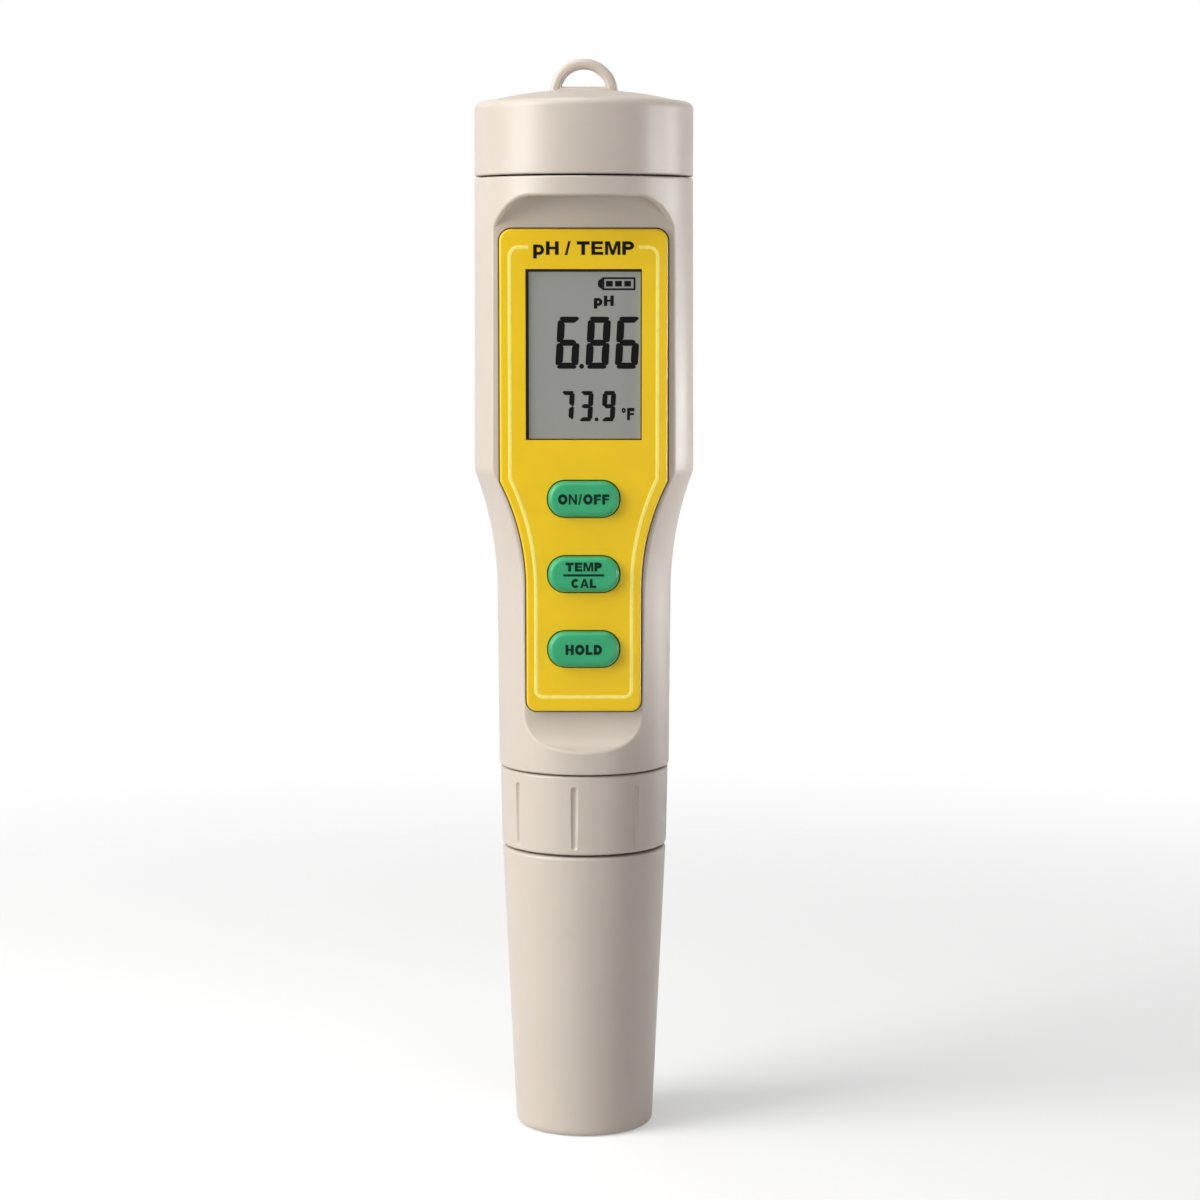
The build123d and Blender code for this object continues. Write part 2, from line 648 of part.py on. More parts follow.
# Main circuit board: wide behind the display, narrow in the grip.
SCREW_X = 7.2
SCREW_Z = (78.0, 117.5)
SCREW_PLACES = [(x, z) for z in SCREW_Z for x in (-SCREW_X, SCREW_X)]
SCREW_R = 0.95
SCREW_CLEAR = 0.15
PCB_TOP = 158.0
PCB_BOTTOM = 72.0
PCB_HEAD_BOTTOM = 119.0
PCB_GRIP_W = 19.0
PCB_HEAD_W = 27.0
with BuildPart() as main_pcb:
    for width, bottom_z in ((PCB_GRIP_W, PCB_BOTTOM), (PCB_HEAD_W, PCB_HEAD_BOTTOM)):
        middle_z = (PCB_TOP + bottom_z) / 2
        add(block(width, PCB_TOP - bottom_z, PCB_FRONT_Y, PCB_BACK_Y, 0, middle_z))
    with BuildSketch(front(PCB_BACK_Y)):
        with Locations(*SCREW_PLACES):
            Circle(SCREW_R + SCREW_CLEAR)
    extrude(amount=PCB_T, mode=Mode.SUBTRACT)
main_pcb.part.label = "main_pcb"
export_step(main_pcb.part, "parts/main_pcb.step")

# Components on the back of the board stand on it with a small joint gap.
SOLDER_GAP = 0.02
CHIP_SIZE = 9.0
CHIP_T = 1.3
CHIP_Z = 130.0
chip_front_y = PCB_BACK_Y + SOLDER_GAP
microcontroller = block(CHIP_SIZE, CHIP_SIZE, chip_front_y, PCB_BACK_Y + CHIP_T, 0, CHIP_Z)
microcontroller.label = "microcontroller"
export_step(microcontroller, "parts/microcontroller.step")

CRYSTAL_PLACE = (8.5, 128.0)
CRYSTAL_L = 7.0
CRYSTAL_W = 3.0
CRYSTAL_T = 2.0
with BuildPart() as crystal:
    with BuildSketch(front(PCB_BACK_Y + CRYSTAL_T)):
        with Locations(CRYSTAL_PLACE):
            SlotOverall(CRYSTAL_L, CRYSTAL_W, rotation=90)
    extrude(amount=CRYSTAL_T - SOLDER_GAP)
crystal.part.label = "crystal"
export_step(crystal.part, "parts/crystal.step")

CAPACITOR_PLACE = (-9.0, 134.0)
CAPACITOR_STEP = (3.2, 4.0)
CAPACITOR_SIZE = (1.3, 2.0)
CAPACITOR_T = 0.9
with BuildPart() as chip_capacitors:
    with BuildSketch(front(PCB_BACK_Y + CAPACITOR_T)):
        with Locations(CAPACITOR_PLACE):
            with GridLocations(*CAPACITOR_STEP, 2, 4):
                Rectangle(*CAPACITOR_SIZE)
    extrude(amount=CAPACITOR_T - SOLDER_GAP)
chip_capacitors.part.label = "chip_capacitors"
export_step(chip_capacitors.part, "parts/chip_capacitors.step")

# Chassis: a rear plate with four bosses that carry the board.
CHASSIS_FRONT_Y = 1.0
CHASSIS_BACK_Y = 3.0
CHASSIS_TOP = 143.5
CHASSIS_BOTTOM = 70.5
CHASSIS_W = 19.0
BOSS_R = 1.9
BOSS_HOLE_BACK_Y = 2.5
RIB_X = 8.5
RIB_W = 2.0
RIB_H = 68.0
RIB_DEPTH = 4.0
chassis_h = CHASSIS_TOP - CHASSIS_BOTTOM
chassis_z = (CHASSIS_TOP + CHASSIS_BOTTOM) / 2
with BuildPart() as chassis:
    add(block(CHASSIS_W, chassis_h, CHASSIS_FRONT_Y, CHASSIS_BACK_Y, 0, chassis_z))
    with BuildSketch(front(CHASSIS_FRONT_Y)):
        with Locations(*SCREW_PLACES):
            Circle(BOSS_R)
    extrude(amount=CHASSIS_FRONT_Y - PCB_BACK_Y - SOLDER_GAP)
    with BuildSketch(front(BOSS_HOLE_BACK_Y)):
        with Locations(*SCREW_PLACES):
            Circle(SCREW_R + 0.03)
    extrude(amount=BOSS_HOLE_BACK_Y - PCB_BACK_Y, mode=Mode.SUBTRACT)
    with BuildSketch(front(CHASSIS_BACK_Y)):
        with Locations((-RIB_X, chassis_z), (RIB_X, chassis_z)):
            Rectangle(RIB_W, RIB_H)
    extrude(amount=-RIB_DEPTH)
chassis.part.label = "chassis"
export_step(chassis.part, "parts/chassis.step")

HEAD_R = 1.8
HEAD_T = 1.1
SHANK_L = 5.2
CROSS_L = 2.2
CROSS_W = 0.5
CROSS_DEPTH = 0.6
HEAD_BACK_Y = PCB_FRONT_Y - SOLDER_GAP
with BuildPart() as pcb_screws:
    with BuildSketch(front(HEAD_BACK_Y)):
        with Locations(*SCREW_PLACES):
            Circle(HEAD_R)
    extrude(amount=HEAD_T)
    with BuildSketch(front(HEAD_BACK_Y)):
        with Locations(*SCREW_PLACES):
            Circle(SCREW_R)
    extrude(amount=-SHANK_L)
    with BuildSketch(front(HEAD_BACK_Y - HEAD_T)):
        with Locations(*SCREW_PLACES):
            Rectangle(CROSS_L, CROSS_W)
            Rectangle(CROSS_W, CROSS_L)
    extrude(amount=-CROSS_DEPTH, mode=Mode.SUBTRACT)
pcb_screws.part.label = "pcb_screws"
export_step(pcb_screws.part, "parts/pcb_screws.step")

# Socket that the electrode's pins plug into.
SOCKET_BOTTOM = PLUG_TOP + 0.6
SOCKET_TOP = 69.0
SOCKET_FLANGE_R = 7.5
SOCKET_FLANGE_TOP = 68.5
PIN_HOLE_R = 0.58
PIN_HOLE_TOP = 66.6
with BuildPart() as socket_connector:
    add(rod(0, 0, SOCKET_HOLE_R - CLEAR, SOCKET_BOTTOM, SOCKET_TOP))
    add(rod(0, 0, SOCKET_FLANGE_R, CAVITY_BOTTOM + CLEAR, SOCKET_FLANGE_TOP))
    with BuildSketch(Plane.XY.offset(SOCKET_BOTTOM)):
        with PolarLocations(PIN_CIRCLE_R, 4):
            Circle(PIN_HOLE_R)
    extrude(amount=PIN_HOLE_TOP - SOCKET_BOTTOM, mode=Mode.SUBTRACT)
socket_connector.part.label = "socket_connector"
export_step(socket_connector.part, "parts/socket_connector.step")

# Silicone seal behind the front wall, with a clear hole for each key's flange.
SEAL_FRONT_Y = INNER_WALL_Y + CLEAR
SEAL_T = 0.8
SEAL_SIZE = (16.4, 38.0)
SEAL_HOLE_EXTRA = FLANGE_EXTRA + 0.6
with BuildPart() as keypad_seal:
    with BuildSketch(front(SEAL_FRONT_Y + SEAL_T)):
        with Locations((0, KEY_Z[1])):
            Rectangle(*SEAL_SIZE)
        for z in KEY_Z:
            with Locations((0, z)):
                Rectangle(KEY_W + SEAL_HOLE_EXTRA, KEY_H + SEAL_HOLE_EXTRA, mode=Mode.SUBTRACT)
    extrude(amount=SEAL_T)
keypad_seal.part.label = "keypad_seal"
export_step(keypad_seal.part, "parts/keypad_seal.step")

# Battery holder tube with two feet on the chassis.
HOLDER_TOP = 172.5
HOLDER_BORE_R = CELL_R + 0.15
HOLDER_FLOOR_T = 1.2
CONTACT_HOLE_R = 0.6
HOLDER_FEET = [(-3.75, 2.0), (3.75, 2.0)]
HOLDER_FOOT_SIZE = (2.5, 2.0)
with BuildPart() as battery_holder:
    add(rod(0, CELL_Y, HOLDER_R, HOLDER_FLOOR_Z, HOLDER_TOP))
    bore_floor_z = HOLDER_FLOOR_Z + HOLDER_FLOOR_T
    add(rod(0, CELL_Y, HOLDER_BORE_R, bore_floor_z, HOLDER_TOP), mode=Mode.SUBTRACT)
    add(rod(0, CELL_Y, CONTACT_HOLE_R, HOLDER_FLOOR_Z, bore_floor_z), mode=Mode.SUBTRACT)
    with BuildSketch(Plane.XY.offset(CHASSIS_TOP + CLEAR)):
        with Locations(*HOLDER_FEET):
            Rectangle(*HOLDER_FOOT_SIZE)
    extrude(amount=HOLDER_FLOOR_Z - CHASSIS_TOP - CLEAR + 0.2)
battery_holder.part.label = "battery_holder"
export_step(battery_holder.part, "parts/battery_holder.step")

CELL_EDGE_R = 0.5
CELL_RECESS_R = 4.9
CELL_RECESS_H = 0.4
for index in range(4):
    cell_bottom = CELL_START_Z + index * (CELL_H + CELL_GAP)
    cell_top = cell_bottom + CELL_H
    rim_cut = ring(CELL_R + 1, CELL_RECESS_R, cell_top - CELL_RECESS_H, cell_top)
    with BuildPart() as button_cell:
        add(rod(0, CELL_Y, CELL_R, cell_bottom, cell_top))
        fillet(button_cell.edges().group_by(Axis.Z)[0], CELL_EDGE_R)
        add(rim_cut.moved(Location((0, CELL_Y, 0))), mode=Mode.SUBTRACT)
    button_cell.part.label = f"button_cell_{index + 1}"
    export_step(button_cell.part, f"parts/button_cell_{index + 1}.step")

# Negative contact: a disc under the spring and a tail that reaches the board.
CONTACT_Z = HOLDER_FLOOR_Z + HOLDER_FLOOR_T + 0.02
CONTACT_T = 0.3
CONTACT_R = 4.4
TAIL_R = 0.5
TAIL_Z = 145.4
TAIL_W = 0.9
TAIL_T = 0.4
with BuildPart() as negative_contact:
    add(rod(0, CELL_Y, CONTACT_R, CONTACT_Z, CONTACT_Z + CONTACT_T))
    add(rod(0, CELL_Y, TAIL_R, TAIL_Z, CONTACT_Z + CONTACT_T))
    with BuildSketch(Plane.XY.offset(TAIL_Z)):
        with Locations((0, (CELL_Y + PCB_BACK_Y) / 2)):
            Rectangle(TAIL_W, CELL_Y - PCB_BACK_Y - 2 * SOLDER_GAP)
    extrude(amount=TAIL_T)
negative_contact.part.label = "negative_contact"
export_step(negative_contact.part, "parts/negative_contact.step")

SPRING_R = 3.6
SPRING_WIRE_R = 0.3
SPRING_BOTTOM = CONTACT_Z + CONTACT_T + SPRING_WIRE_R + CELL_GAP
SPRING_H = CELL_START_Z - SPRING_WIRE_R - CELL_GAP - SPRING_BOTTOM
with BuildPart() as battery_spring:
    with BuildLine() as spring_path:
        Helix(SPRING_H / 2, SPRING_H, SPRING_R, center=(0, CELL_Y, SPRING_BOTTOM))
    with BuildSketch(Plane(spring_path.line @ 0, z_dir=spring_path.line % 0)):
        Circle(SPRING_WIRE_R)
    sweep(path=spring_path.line, is_frenet=True)
battery_spring.part.label = "battery_spring"
export_step(battery_spring.part, "parts/battery_spring.step")

# Positive contact: a strip up the front of the board that meets the plate in the cap.
PLATE_CONTACT_Z = 172.95
STRIP_TOP = PLATE_CONTACT_Z - CLEAR
STRIP_BOTTOM = 154.0
STRIP_W = 3.0
STRIP_T = 0.4
strip_z = (STRIP_TOP + STRIP_BOTTOM) / 2
positive_contact = block(
    STRIP_W, STRIP_TOP - STRIP_BOTTOM, FRAME_BACK_Y - STRIP_T, FRAME_BACK_Y, 0, strip_z
)
positive_contact.label = "positive_contact"
export_step(positive_contact, "parts/positive_contact.step")

# ---------------------------------------------------------------- key bodies

KEY_FRONT_Y = FLOOR_Y - FACEPLATE_T - KEY_PROUD
FLANGE_FRONT_Y = INNER_WALL_Y + 0.07
FLANGE_T = 0.8
FLANGE_BACK_Y = FLANGE_FRONT_Y + FLANGE_T
KEY_EDGE_R = 1.1
SWITCH_W = 6.0
PLUNGER_R = 1.7
PLUNGER_SEAT = 0.7
PLUNGER_CLEAR = 0.15
SWITCH_H = 3.5
PLUNGER_HOLE_DEPTH = PLUNGER_SEAT + KEY_TRAVEL + PLUNGER_CLEAR
SWITCH_FRONT_Y = PCB_FRONT_Y - SWITCH_H
for key_name, z in zip(KEY_NAMES, KEY_Z):
    with BuildPart() as key_cap:
        with BuildSketch(front(FLANGE_BACK_Y)):
            with Locations((0, z)):
                RectangleRounded(KEY_W + FLANGE_EXTRA, KEY_H + FLANGE_EXTRA, KEY_R)
        extrude(amount=FLANGE_BACK_Y - FLANGE_FRONT_Y)
        with BuildSketch(front(FLANGE_FRONT_Y)):
            with Locations((0, z)):
                RectangleRounded(KEY_W, KEY_H, KEY_R)
        extrude(amount=FLANGE_FRONT_Y - KEY_FRONT_Y)
        fillet(key_cap.faces().sort_by(Axis.Y)[0].edges(), KEY_EDGE_R)
    key_cap.part.label = f"key_{key_name}"
    export_step(key_cap.part, f"parts/key_{key_name}.step")

    with BuildPart() as switch_plunger:
        with BuildSketch(front(SWITCH_FRONT_Y + PLUNGER_SEAT)):
            with Locations((0, z)):
                Circle(PLUNGER_R)
        extrude(amount=SWITCH_FRONT_Y + PLUNGER_SEAT - FLANGE_BACK_Y)
    switch_plunger.part.label = f"plunger_{key_name}"
    export_step(switch_plunger.part, f"parts/plunger_{key_name}.step")

    with BuildPart() as switch_body:
        add(block(SWITCH_W, SWITCH_W, SWITCH_FRONT_Y, PCB_FRONT_Y - SOLDER_GAP, 0, z))
        with BuildSketch(front(SWITCH_FRONT_Y)):
            with Locations((0, z)):
                Circle(PLUNGER_R + PLUNGER_CLEAR)
        extrude(amount=-PLUNGER_HOLE_DEPTH, mode=Mode.SUBTRACT)
    switch_body.part.label = f"switch_{key_name}"
    export_step(switch_body.part, f"parts/switch_{key_name}.step")

# ---------------------------------------------------------------- battery cap bodies

STUD_R = 2.0
STUD_TOP = 179.2
STUD_HOLE_R = 2.06
STUD_HOLE_TOP = 179.4
PLATE_CONTACT_R = 12.3
PLATE_CONTACT_TOP = PLATE_CONTACT_Z + 0.5
contact_plate = rod(0, 0, PLATE_CONTACT_R, PLATE_CONTACT_Z, PLATE_CONTACT_TOP)
contact_plate.label = "contact_plate"
export_step(contact_plate, "parts/contact_plate.step")

contact_stud = rod(0, 0, STUD_R, PLATE_CONTACT_TOP, STUD_TOP)
contact_stud.label = "contact_stud"
export_step(contact_stud, "parts/contact_stud.step")

# Screw cap with a shallow dome and a moulded lanyard eye.
LID_SIDE_TOP = 179.15
LID_EDGE_R = 17.2
LID_EDGE_Z = 180.5
DOME_TOP = 182.7
LID_CEILING = 178.0
BOSS_BOTTOM = 174.6
LID_BOSS_R = 4.5
EYE_T = 3.0
EYE_OUTER_R = 5.9
EYE_INNER_R = 3.95
EYE_SILL_Z = 183.2
DOME_R = (LID_EDGE_R**2 + (DOME_TOP - LID_EDGE_Z) ** 2) / (2 * (DOME_TOP - LID_EDGE_Z))
EYE_WALL_TOP = 1.8
EYE_FOOT_H = 2.0
EYE_EDGE_R = 0.8
LID_EDGE_ROUND = 0.35

# Moulded lanyard eye: an arch with rounded edges whose feet sink into the cap.
with BuildPart() as lanyard_eye:
    eye_centre_z = TOTAL_HEIGHT - EYE_OUTER_R
    hole_centre_z = TOTAL_HEIGHT - EYE_WALL_TOP - EYE_INNER_R
    foot_z = eye_centre_z - EYE_FOOT_H
    with BuildSketch(Plane.XZ.offset(-EYE_T / 2)):
        with Locations((0, eye_centre_z)):
            Circle(EYE_OUTER_R)
        with Locations((0, eye_centre_z - EYE_OUTER_R / 2)):
            Rectangle(2 * EYE_OUTER_R, EYE_OUTER_R, mode=Mode.SUBTRACT)
        with Locations((0, eye_centre_z - EYE_FOOT_H / 2)):
            Rectangle(2 * EYE_OUTER_R, EYE_FOOT_H)
        with Locations((0, hole_centre_z)):
            Circle(EYE_INNER_R, mode=Mode.SUBTRACT)
        with Locations((0, (foot_z + EYE_SILL_Z) / 2)):
            Rectangle(2 * EYE_INNER_R, EYE_SILL_Z - foot_z)
    extrude(amount=EYE_T)
    side_faces = lanyard_eye.faces().filter_by(Axis.Y)
    long_edges = side_faces.edges().filter_by(lambda edge: edge.center().Z > foot_z + 0.1)
    fillet(long_edges, EYE_EDGE_R)

with BuildPart() as battery_cap:
    with BuildSketch(Plane.XZ):
        with BuildLine():
            Polyline((0, LID_BOTTOM), (HEAD_TOP_R, LID_BOTTOM), (HEAD_TOP_R, LID_SIDE_TOP))
            shoulder = TangentArc(
                (HEAD_TOP_R, LID_SIDE_TOP), (LID_EDGE_R, LID_EDGE_Z), tangent=(0, 1)
            )
            RadiusArc(shoulder @ 1, (0, DOME_TOP), -DOME_R)
            Line((0, DOME_TOP), (0, LID_BOTTOM))
        make_face()
    revolve(axis=Axis.Z)
    fillet(battery_cap.edges().group_by(Axis.Z)[0], LID_EDGE_ROUND)
    add(lanyard_eye.part)
    add(rod(0, 0, LID_BORE_R, LID_BOTTOM, LID_CEILING), mode=Mode.SUBTRACT)
    add(rod(0, 0, LID_BOSS_R, BOSS_BOTTOM, LID_CEILING))
    add(rod(0, 0, STUD_HOLE_R, BOSS_BOTTOM, STUD_HOLE_TOP), mode=Mode.SUBTRACT)
    add(
        thread_ridge(
            LID_BORE_R + RIDGE_EMBED, LID_TIP_R, NECK_START_Z - PITCH / 2, NECK_RIDGE_H
        )
    )
battery_cap.part.label = "battery_cap"
export_step(battery_cap.part, "parts/battery_cap.step")
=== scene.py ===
import json
import math

import bmesh
import bpy
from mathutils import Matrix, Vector


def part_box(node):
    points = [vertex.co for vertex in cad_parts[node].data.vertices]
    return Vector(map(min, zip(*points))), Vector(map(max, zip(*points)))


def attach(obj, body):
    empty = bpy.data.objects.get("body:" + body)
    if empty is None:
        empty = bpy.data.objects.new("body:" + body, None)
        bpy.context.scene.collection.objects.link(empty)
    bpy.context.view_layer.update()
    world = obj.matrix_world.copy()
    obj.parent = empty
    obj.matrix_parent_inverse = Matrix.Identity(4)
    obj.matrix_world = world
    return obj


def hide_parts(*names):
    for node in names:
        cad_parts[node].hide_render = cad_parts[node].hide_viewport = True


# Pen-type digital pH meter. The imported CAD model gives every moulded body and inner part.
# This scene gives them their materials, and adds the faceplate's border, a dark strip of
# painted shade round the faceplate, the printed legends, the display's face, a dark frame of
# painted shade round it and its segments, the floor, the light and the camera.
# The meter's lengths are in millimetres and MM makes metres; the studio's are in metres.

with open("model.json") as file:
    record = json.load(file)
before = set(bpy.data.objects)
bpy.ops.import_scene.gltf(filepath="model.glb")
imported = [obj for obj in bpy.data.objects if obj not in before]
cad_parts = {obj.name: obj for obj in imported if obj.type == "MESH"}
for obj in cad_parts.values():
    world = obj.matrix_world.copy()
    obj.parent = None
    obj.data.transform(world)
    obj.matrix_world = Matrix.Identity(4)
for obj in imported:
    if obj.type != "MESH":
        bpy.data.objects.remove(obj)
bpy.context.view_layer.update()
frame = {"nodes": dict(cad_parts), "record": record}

MM = 0.001


# ---------------------------------------------------------------- materials

NOISE_LOW, NOISE_HIGH = 0.3, 0.7
COAT_ROUGHNESS = 0.08
SUBSURFACE_MM = 1.5
PATCHES_PER_MOTTLE = 4
SMEAR_MM = 4.0
SMEAR_DETAIL = 3.0
SMEAR_SPREAD = 2.5


def new_material(name):
    """A node material: itself, its nodes, its links and its principled shader."""
    material = bpy.data.materials.new(name)
    material.use_nodes = True
    nodes = material.node_tree.nodes
    shader = nodes["Principled BSDF"]
    return material, nodes, material.node_tree.links, shader


def noise(nodes, links, coords, feature_mm, detail):
    """Noise whose features are about feature_mm across, in the object's own space."""
    texture = nodes.new("ShaderNodeTexNoise")
    texture.inputs["Scale"].default_value = 1.0 / (feature_mm * MM)
    texture.inputs["Detail"].default_value = detail
    links.new(coords.outputs["Object"], texture.inputs["Vector"])
    return texture


def ramp(nodes, links, source, low, high):
    """Colour ramp from low to high over the middle of a noise."""
    node = nodes.new("ShaderNodeValToRGB")
    node.color_ramp.elements[0].position = NOISE_LOW
    node.color_ramp.elements[0].color = (*low, 1.0)
    node.color_ramp.elements[1].position = NOISE_HIGH
    node.color_ramp.elements[1].color = (*high, 1.0)
    links.new(source, node.inputs["Fac"])
    return node


def spread(nodes, links, source, low, high):
    """Maps a noise onto the range from low to high."""
    node = nodes.new("ShaderNodeMapRange")
    node.inputs["From Min"].default_value = NOISE_LOW
    node.inputs["From Max"].default_value = NOISE_HIGH
    node.inputs["To Min"].default_value = low
    node.inputs["To Max"].default_value = high
    links.new(source, node.inputs["Value"])
    return node


def textured(name, colour, shift=0.03, rough=(0.4, 0.5), mottle_mm=9.0, grain_mm=0.25,
             grain=0.02, metallic=0.0, coat=0.0, specular=0.5, subsurface=0.0, detail=3.0):
    """Moulded or finished surface: faint mottling, a roughness map and a fine grain.

    colour is linear RGB, shift its variation either way, and grain the bump's height in mm.
    """
    material, nodes, links, shader = new_material(name)
    coords = nodes.new("ShaderNodeTexCoord")
    mottle = noise(nodes, links, coords, mottle_mm, detail)
    darker = tuple(channel * (1 - shift) for channel in colour)
    lighter = tuple(min(1.0, channel * (1 + shift)) for channel in colour)
    tint = ramp(nodes, links, mottle.outputs["Fac"], darker, lighter)
    links.new(tint.outputs["Color"], shader.inputs["Base Color"])
    patches = noise(nodes, links, coords, mottle_mm / PATCHES_PER_MOTTLE, detail)
    gloss = spread(nodes, links, patches.outputs["Fac"], *rough)
    links.new(gloss.outputs["Result"], shader.inputs["Roughness"])
    fine = noise(nodes, links, coords, grain_mm, detail)
    bump = nodes.new("ShaderNodeBump")
    bump.inputs["Strength"].default_value = 1.0
    bump.inputs["Distance"].default_value = grain * MM
    links.new(fine.outputs["Fac"], bump.inputs["Height"])
    links.new(bump.outputs["Normal"], shader.inputs["Normal"])
    shader.inputs["Metallic"].default_value = metallic
    shader.inputs["Specular IOR Level"].default_value = specular
    shader.inputs["Coat Weight"].default_value = coat
    shader.inputs["Coat Roughness"].default_value = COAT_ROUGHNESS
    shader.inputs["Subsurface Weight"].default_value = subsurface
    shader.inputs["Subsurface Scale"].default_value = SUBSURFACE_MM * MM
    return material


def clear(name, colour, roughness, ior):
    """Clear glass or plastic with faint smears in its gloss."""
    material, nodes, links, shader = new_material(name)
    coords = nodes.new("ShaderNodeTexCoord")
    smears = noise(nodes, links, coords, SMEAR_MM, SMEAR_DETAIL)
    gloss = spread(nodes, links, smears.outputs["Fac"], roughness, roughness * SMEAR_SPREAD)
    links.new(gloss.outputs["Result"], shader.inputs["Roughness"])
    shader.inputs["Base Color"].default_value = (*colour, 1.0)
    shader.inputs["Transmission Weight"].default_value = 1.0
    shader.inputs["IOR"].default_value = ior
    return material


body_plastic = textured("body_plastic", (0.595, 0.524, 0.458), 0.02, (0.34, 0.41), 14.0, 0.3,
                        0.012, subsurface=0.06)
plate_yellow = textured("plate_yellow", (0.88, 0.572, 0.004), 0.03, (0.3, 0.38), 12.0, 0.35, 0.01)
key_green = textured("key_green", (0.024, 0.355, 0.148), 0.05, (0.35, 0.45), 5.0, 0.2, 0.012,
                     subsurface=0.05)
border_pale = textured("border_pale", (1.0, 0.84, 0.17), 0.02, (0.25, 0.32), 5.0, 0.3, 0.006)
print_black = textured("print_black", (0.003, 0.003, 0.003), 0.2, (0.5, 0.6), 2.0, 0.2, 0.006,
                       specular=0.1)
print_green = textured("print_green", (0.003, 0.022, 0.012), 0.2, (0.5, 0.6), 2.0, 0.2, 0.006,
                       specular=0.1)
lcd_face = textured("lcd_face", (0.287, 0.29, 0.272), 0.01, (0.3, 0.33), 8.0, 0.5, 0.002,
                    coat=0.2)
lcd_segment = textured("lcd_segment", (0.002, 0.002, 0.002), 0.15, (0.5, 0.6), 3.0, 0.3, 0.002,
                       specular=0.1)
# Near-black painted on as shade at the edges of the sunken display.
painted_recess_shade = textured("painted_recess_shade", (0.012, 0.012, 0.01), 0.15, (0.55, 0.65), 3.0, 0.3, 0.003,
                     specular=0.2)
# Brownish dark colour painted on as shade in the gap round the faceplate.
painted_seam_shade = textured("painted_seam_shade", (0.07, 0.045, 0.012), 0.2, (0.6, 0.75), 3.0, 0.2, 0.01,
                     specular=0.2)
frame_black = textured("frame_black", (0.012, 0.012, 0.012), 0.15, (0.45, 0.55))
inner_white = textured("inner_white", (0.68, 0.67, 0.63), 0.03, (0.4, 0.5))
seal_rubber = textured("seal_rubber", (0.015, 0.015, 0.016), 0.2, (0.55, 0.7), 3.0, 0.15, 0.01)
silicone = textured("silicone", (0.36, 0.37, 0.37), 0.05, (0.5, 0.62), 4.0, 0.2, 0.01,
                    subsurface=0.1)
sponge = textured("sponge", (0.72, 0.68, 0.48), 0.12, (0.85, 0.95), 1.2, 0.6, 0.25,
                  subsurface=0.1, detail=6.0)
board_green = textured("board_green", (0.01, 0.12, 0.05), 0.1, (0.25, 0.35), 5.0, 0.5, 0.01,
                       coat=0.3)
chip_black = textured("chip_black", (0.01, 0.01, 0.011), 0.15, (0.45, 0.6), 2.0, 0.12, 0.01)
steel = textured("steel", (0.55, 0.55, 0.55), 0.04, (0.22, 0.36), 2.5, 0.15, 0.003, metallic=1.0)
nickel = textured("nickel", (0.70, 0.68, 0.63), 0.04, (0.14, 0.26), 4.0, 0.2, 0.003, metallic=1.0)
gold_contact = textured("gold_contact", (0.85, 0.58, 0.2), 0.04, (0.15, 0.25), 2.0, 0.15, 0.002,
                        metallic=1.0)
electrode_epoxy = textured("electrode_epoxy", (0.012, 0.035, 0.14), 0.08, (0.3, 0.4), 8.0, 0.3,
                           0.008)
ceramic = textured("ceramic", (0.78, 0.76, 0.70), 0.05, (0.6, 0.75), 2.0, 0.12, 0.02)
silver = textured("silver", (0.62, 0.60, 0.57), 0.08, (0.3, 0.45), 1.5, 0.12, 0.004, metallic=1.0)
reflector = textured("reflector", (0.6, 0.61, 0.6), 0.03, (0.2, 0.3), 6.0, 0.4, 0.003,
                     metallic=1.0)
window_clear = clear("window_clear", (0.96, 0.98, 0.97), 0.03, 1.47)
electrode_glass = clear("electrode_glass", (0.93, 0.96, 0.96), 0.02, 1.5)

SLOT_MATERIALS = {
    "body_plastic": body_plastic, "faceplate_yellow": plate_yellow, "key_green": key_green,
    "window_clear": window_clear, "lcd_grey": lcd_face, "reflector_film": reflector,
    "frame_black": frame_black, "inner_white": inner_white, "seal_rubber": seal_rubber,
    "silicone": silicone, "sponge": sponge, "board_green": board_green,
    "chip_black": chip_black, "steel": steel, "nickel": nickel, "gold_contact": gold_contact,
    "electrode_epoxy": electrode_epoxy, "electrode_glass": electrode_glass,
    "ceramic_white": ceramic, "silver": silver,
}
for subpart in frame["record"]["subparts"]:
    node = frame["nodes"][subpart["node"]]
    for material_slot in node.material_slots:
        material_slot.material = SLOT_MATERIALS[subpart["material_slot"]]


# ---------------------------------------------------------------- mesh helpers

WELD_MM = 0.001
SHARP_DEG = 35.0
# Cross-section of a crowned stripe, across it and up, as shares of its half width and height.
CROWN = ((-1.0, 0.0), (-0.75, 0.75), (0.0, 1.0), (0.75, 0.75), (1.0, 0.0))


def place(name, mesh, material, body, slot_name):
    """Puts a finished mesh into the scene as a piece that rides on a CAD body."""
    mesh.materials.append(material)
    thing = bpy.data.objects.new(name, mesh)
    bpy.context.scene.collection.objects.link(thing)
    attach(thing, body)
    return thing


def smooth_piece(name, verts, faces, material, body, slot_name):
    """Smooth mesh piece from millimetre vertices."""
    mesh = bpy.data.meshes.new(name)
    mesh.from_pydata([Vector(v) * MM for v in verts], [], faces)
    build = bmesh.new()
    build.from_mesh(mesh)
    bmesh.ops.remove_doubles(build, verts=build.verts, dist=WELD_MM * MM)
    bmesh.ops.recalc_face_normals(build, faces=build.faces)
    build.to_mesh(mesh)
    build.free()
    mesh.polygons.foreach_set("use_smooth", [True] * len(mesh.polygons))
    mesh.set_sharp_from_angle(angle=math.radians(SHARP_DEG))
    return place(name, mesh, material, body, slot_name)


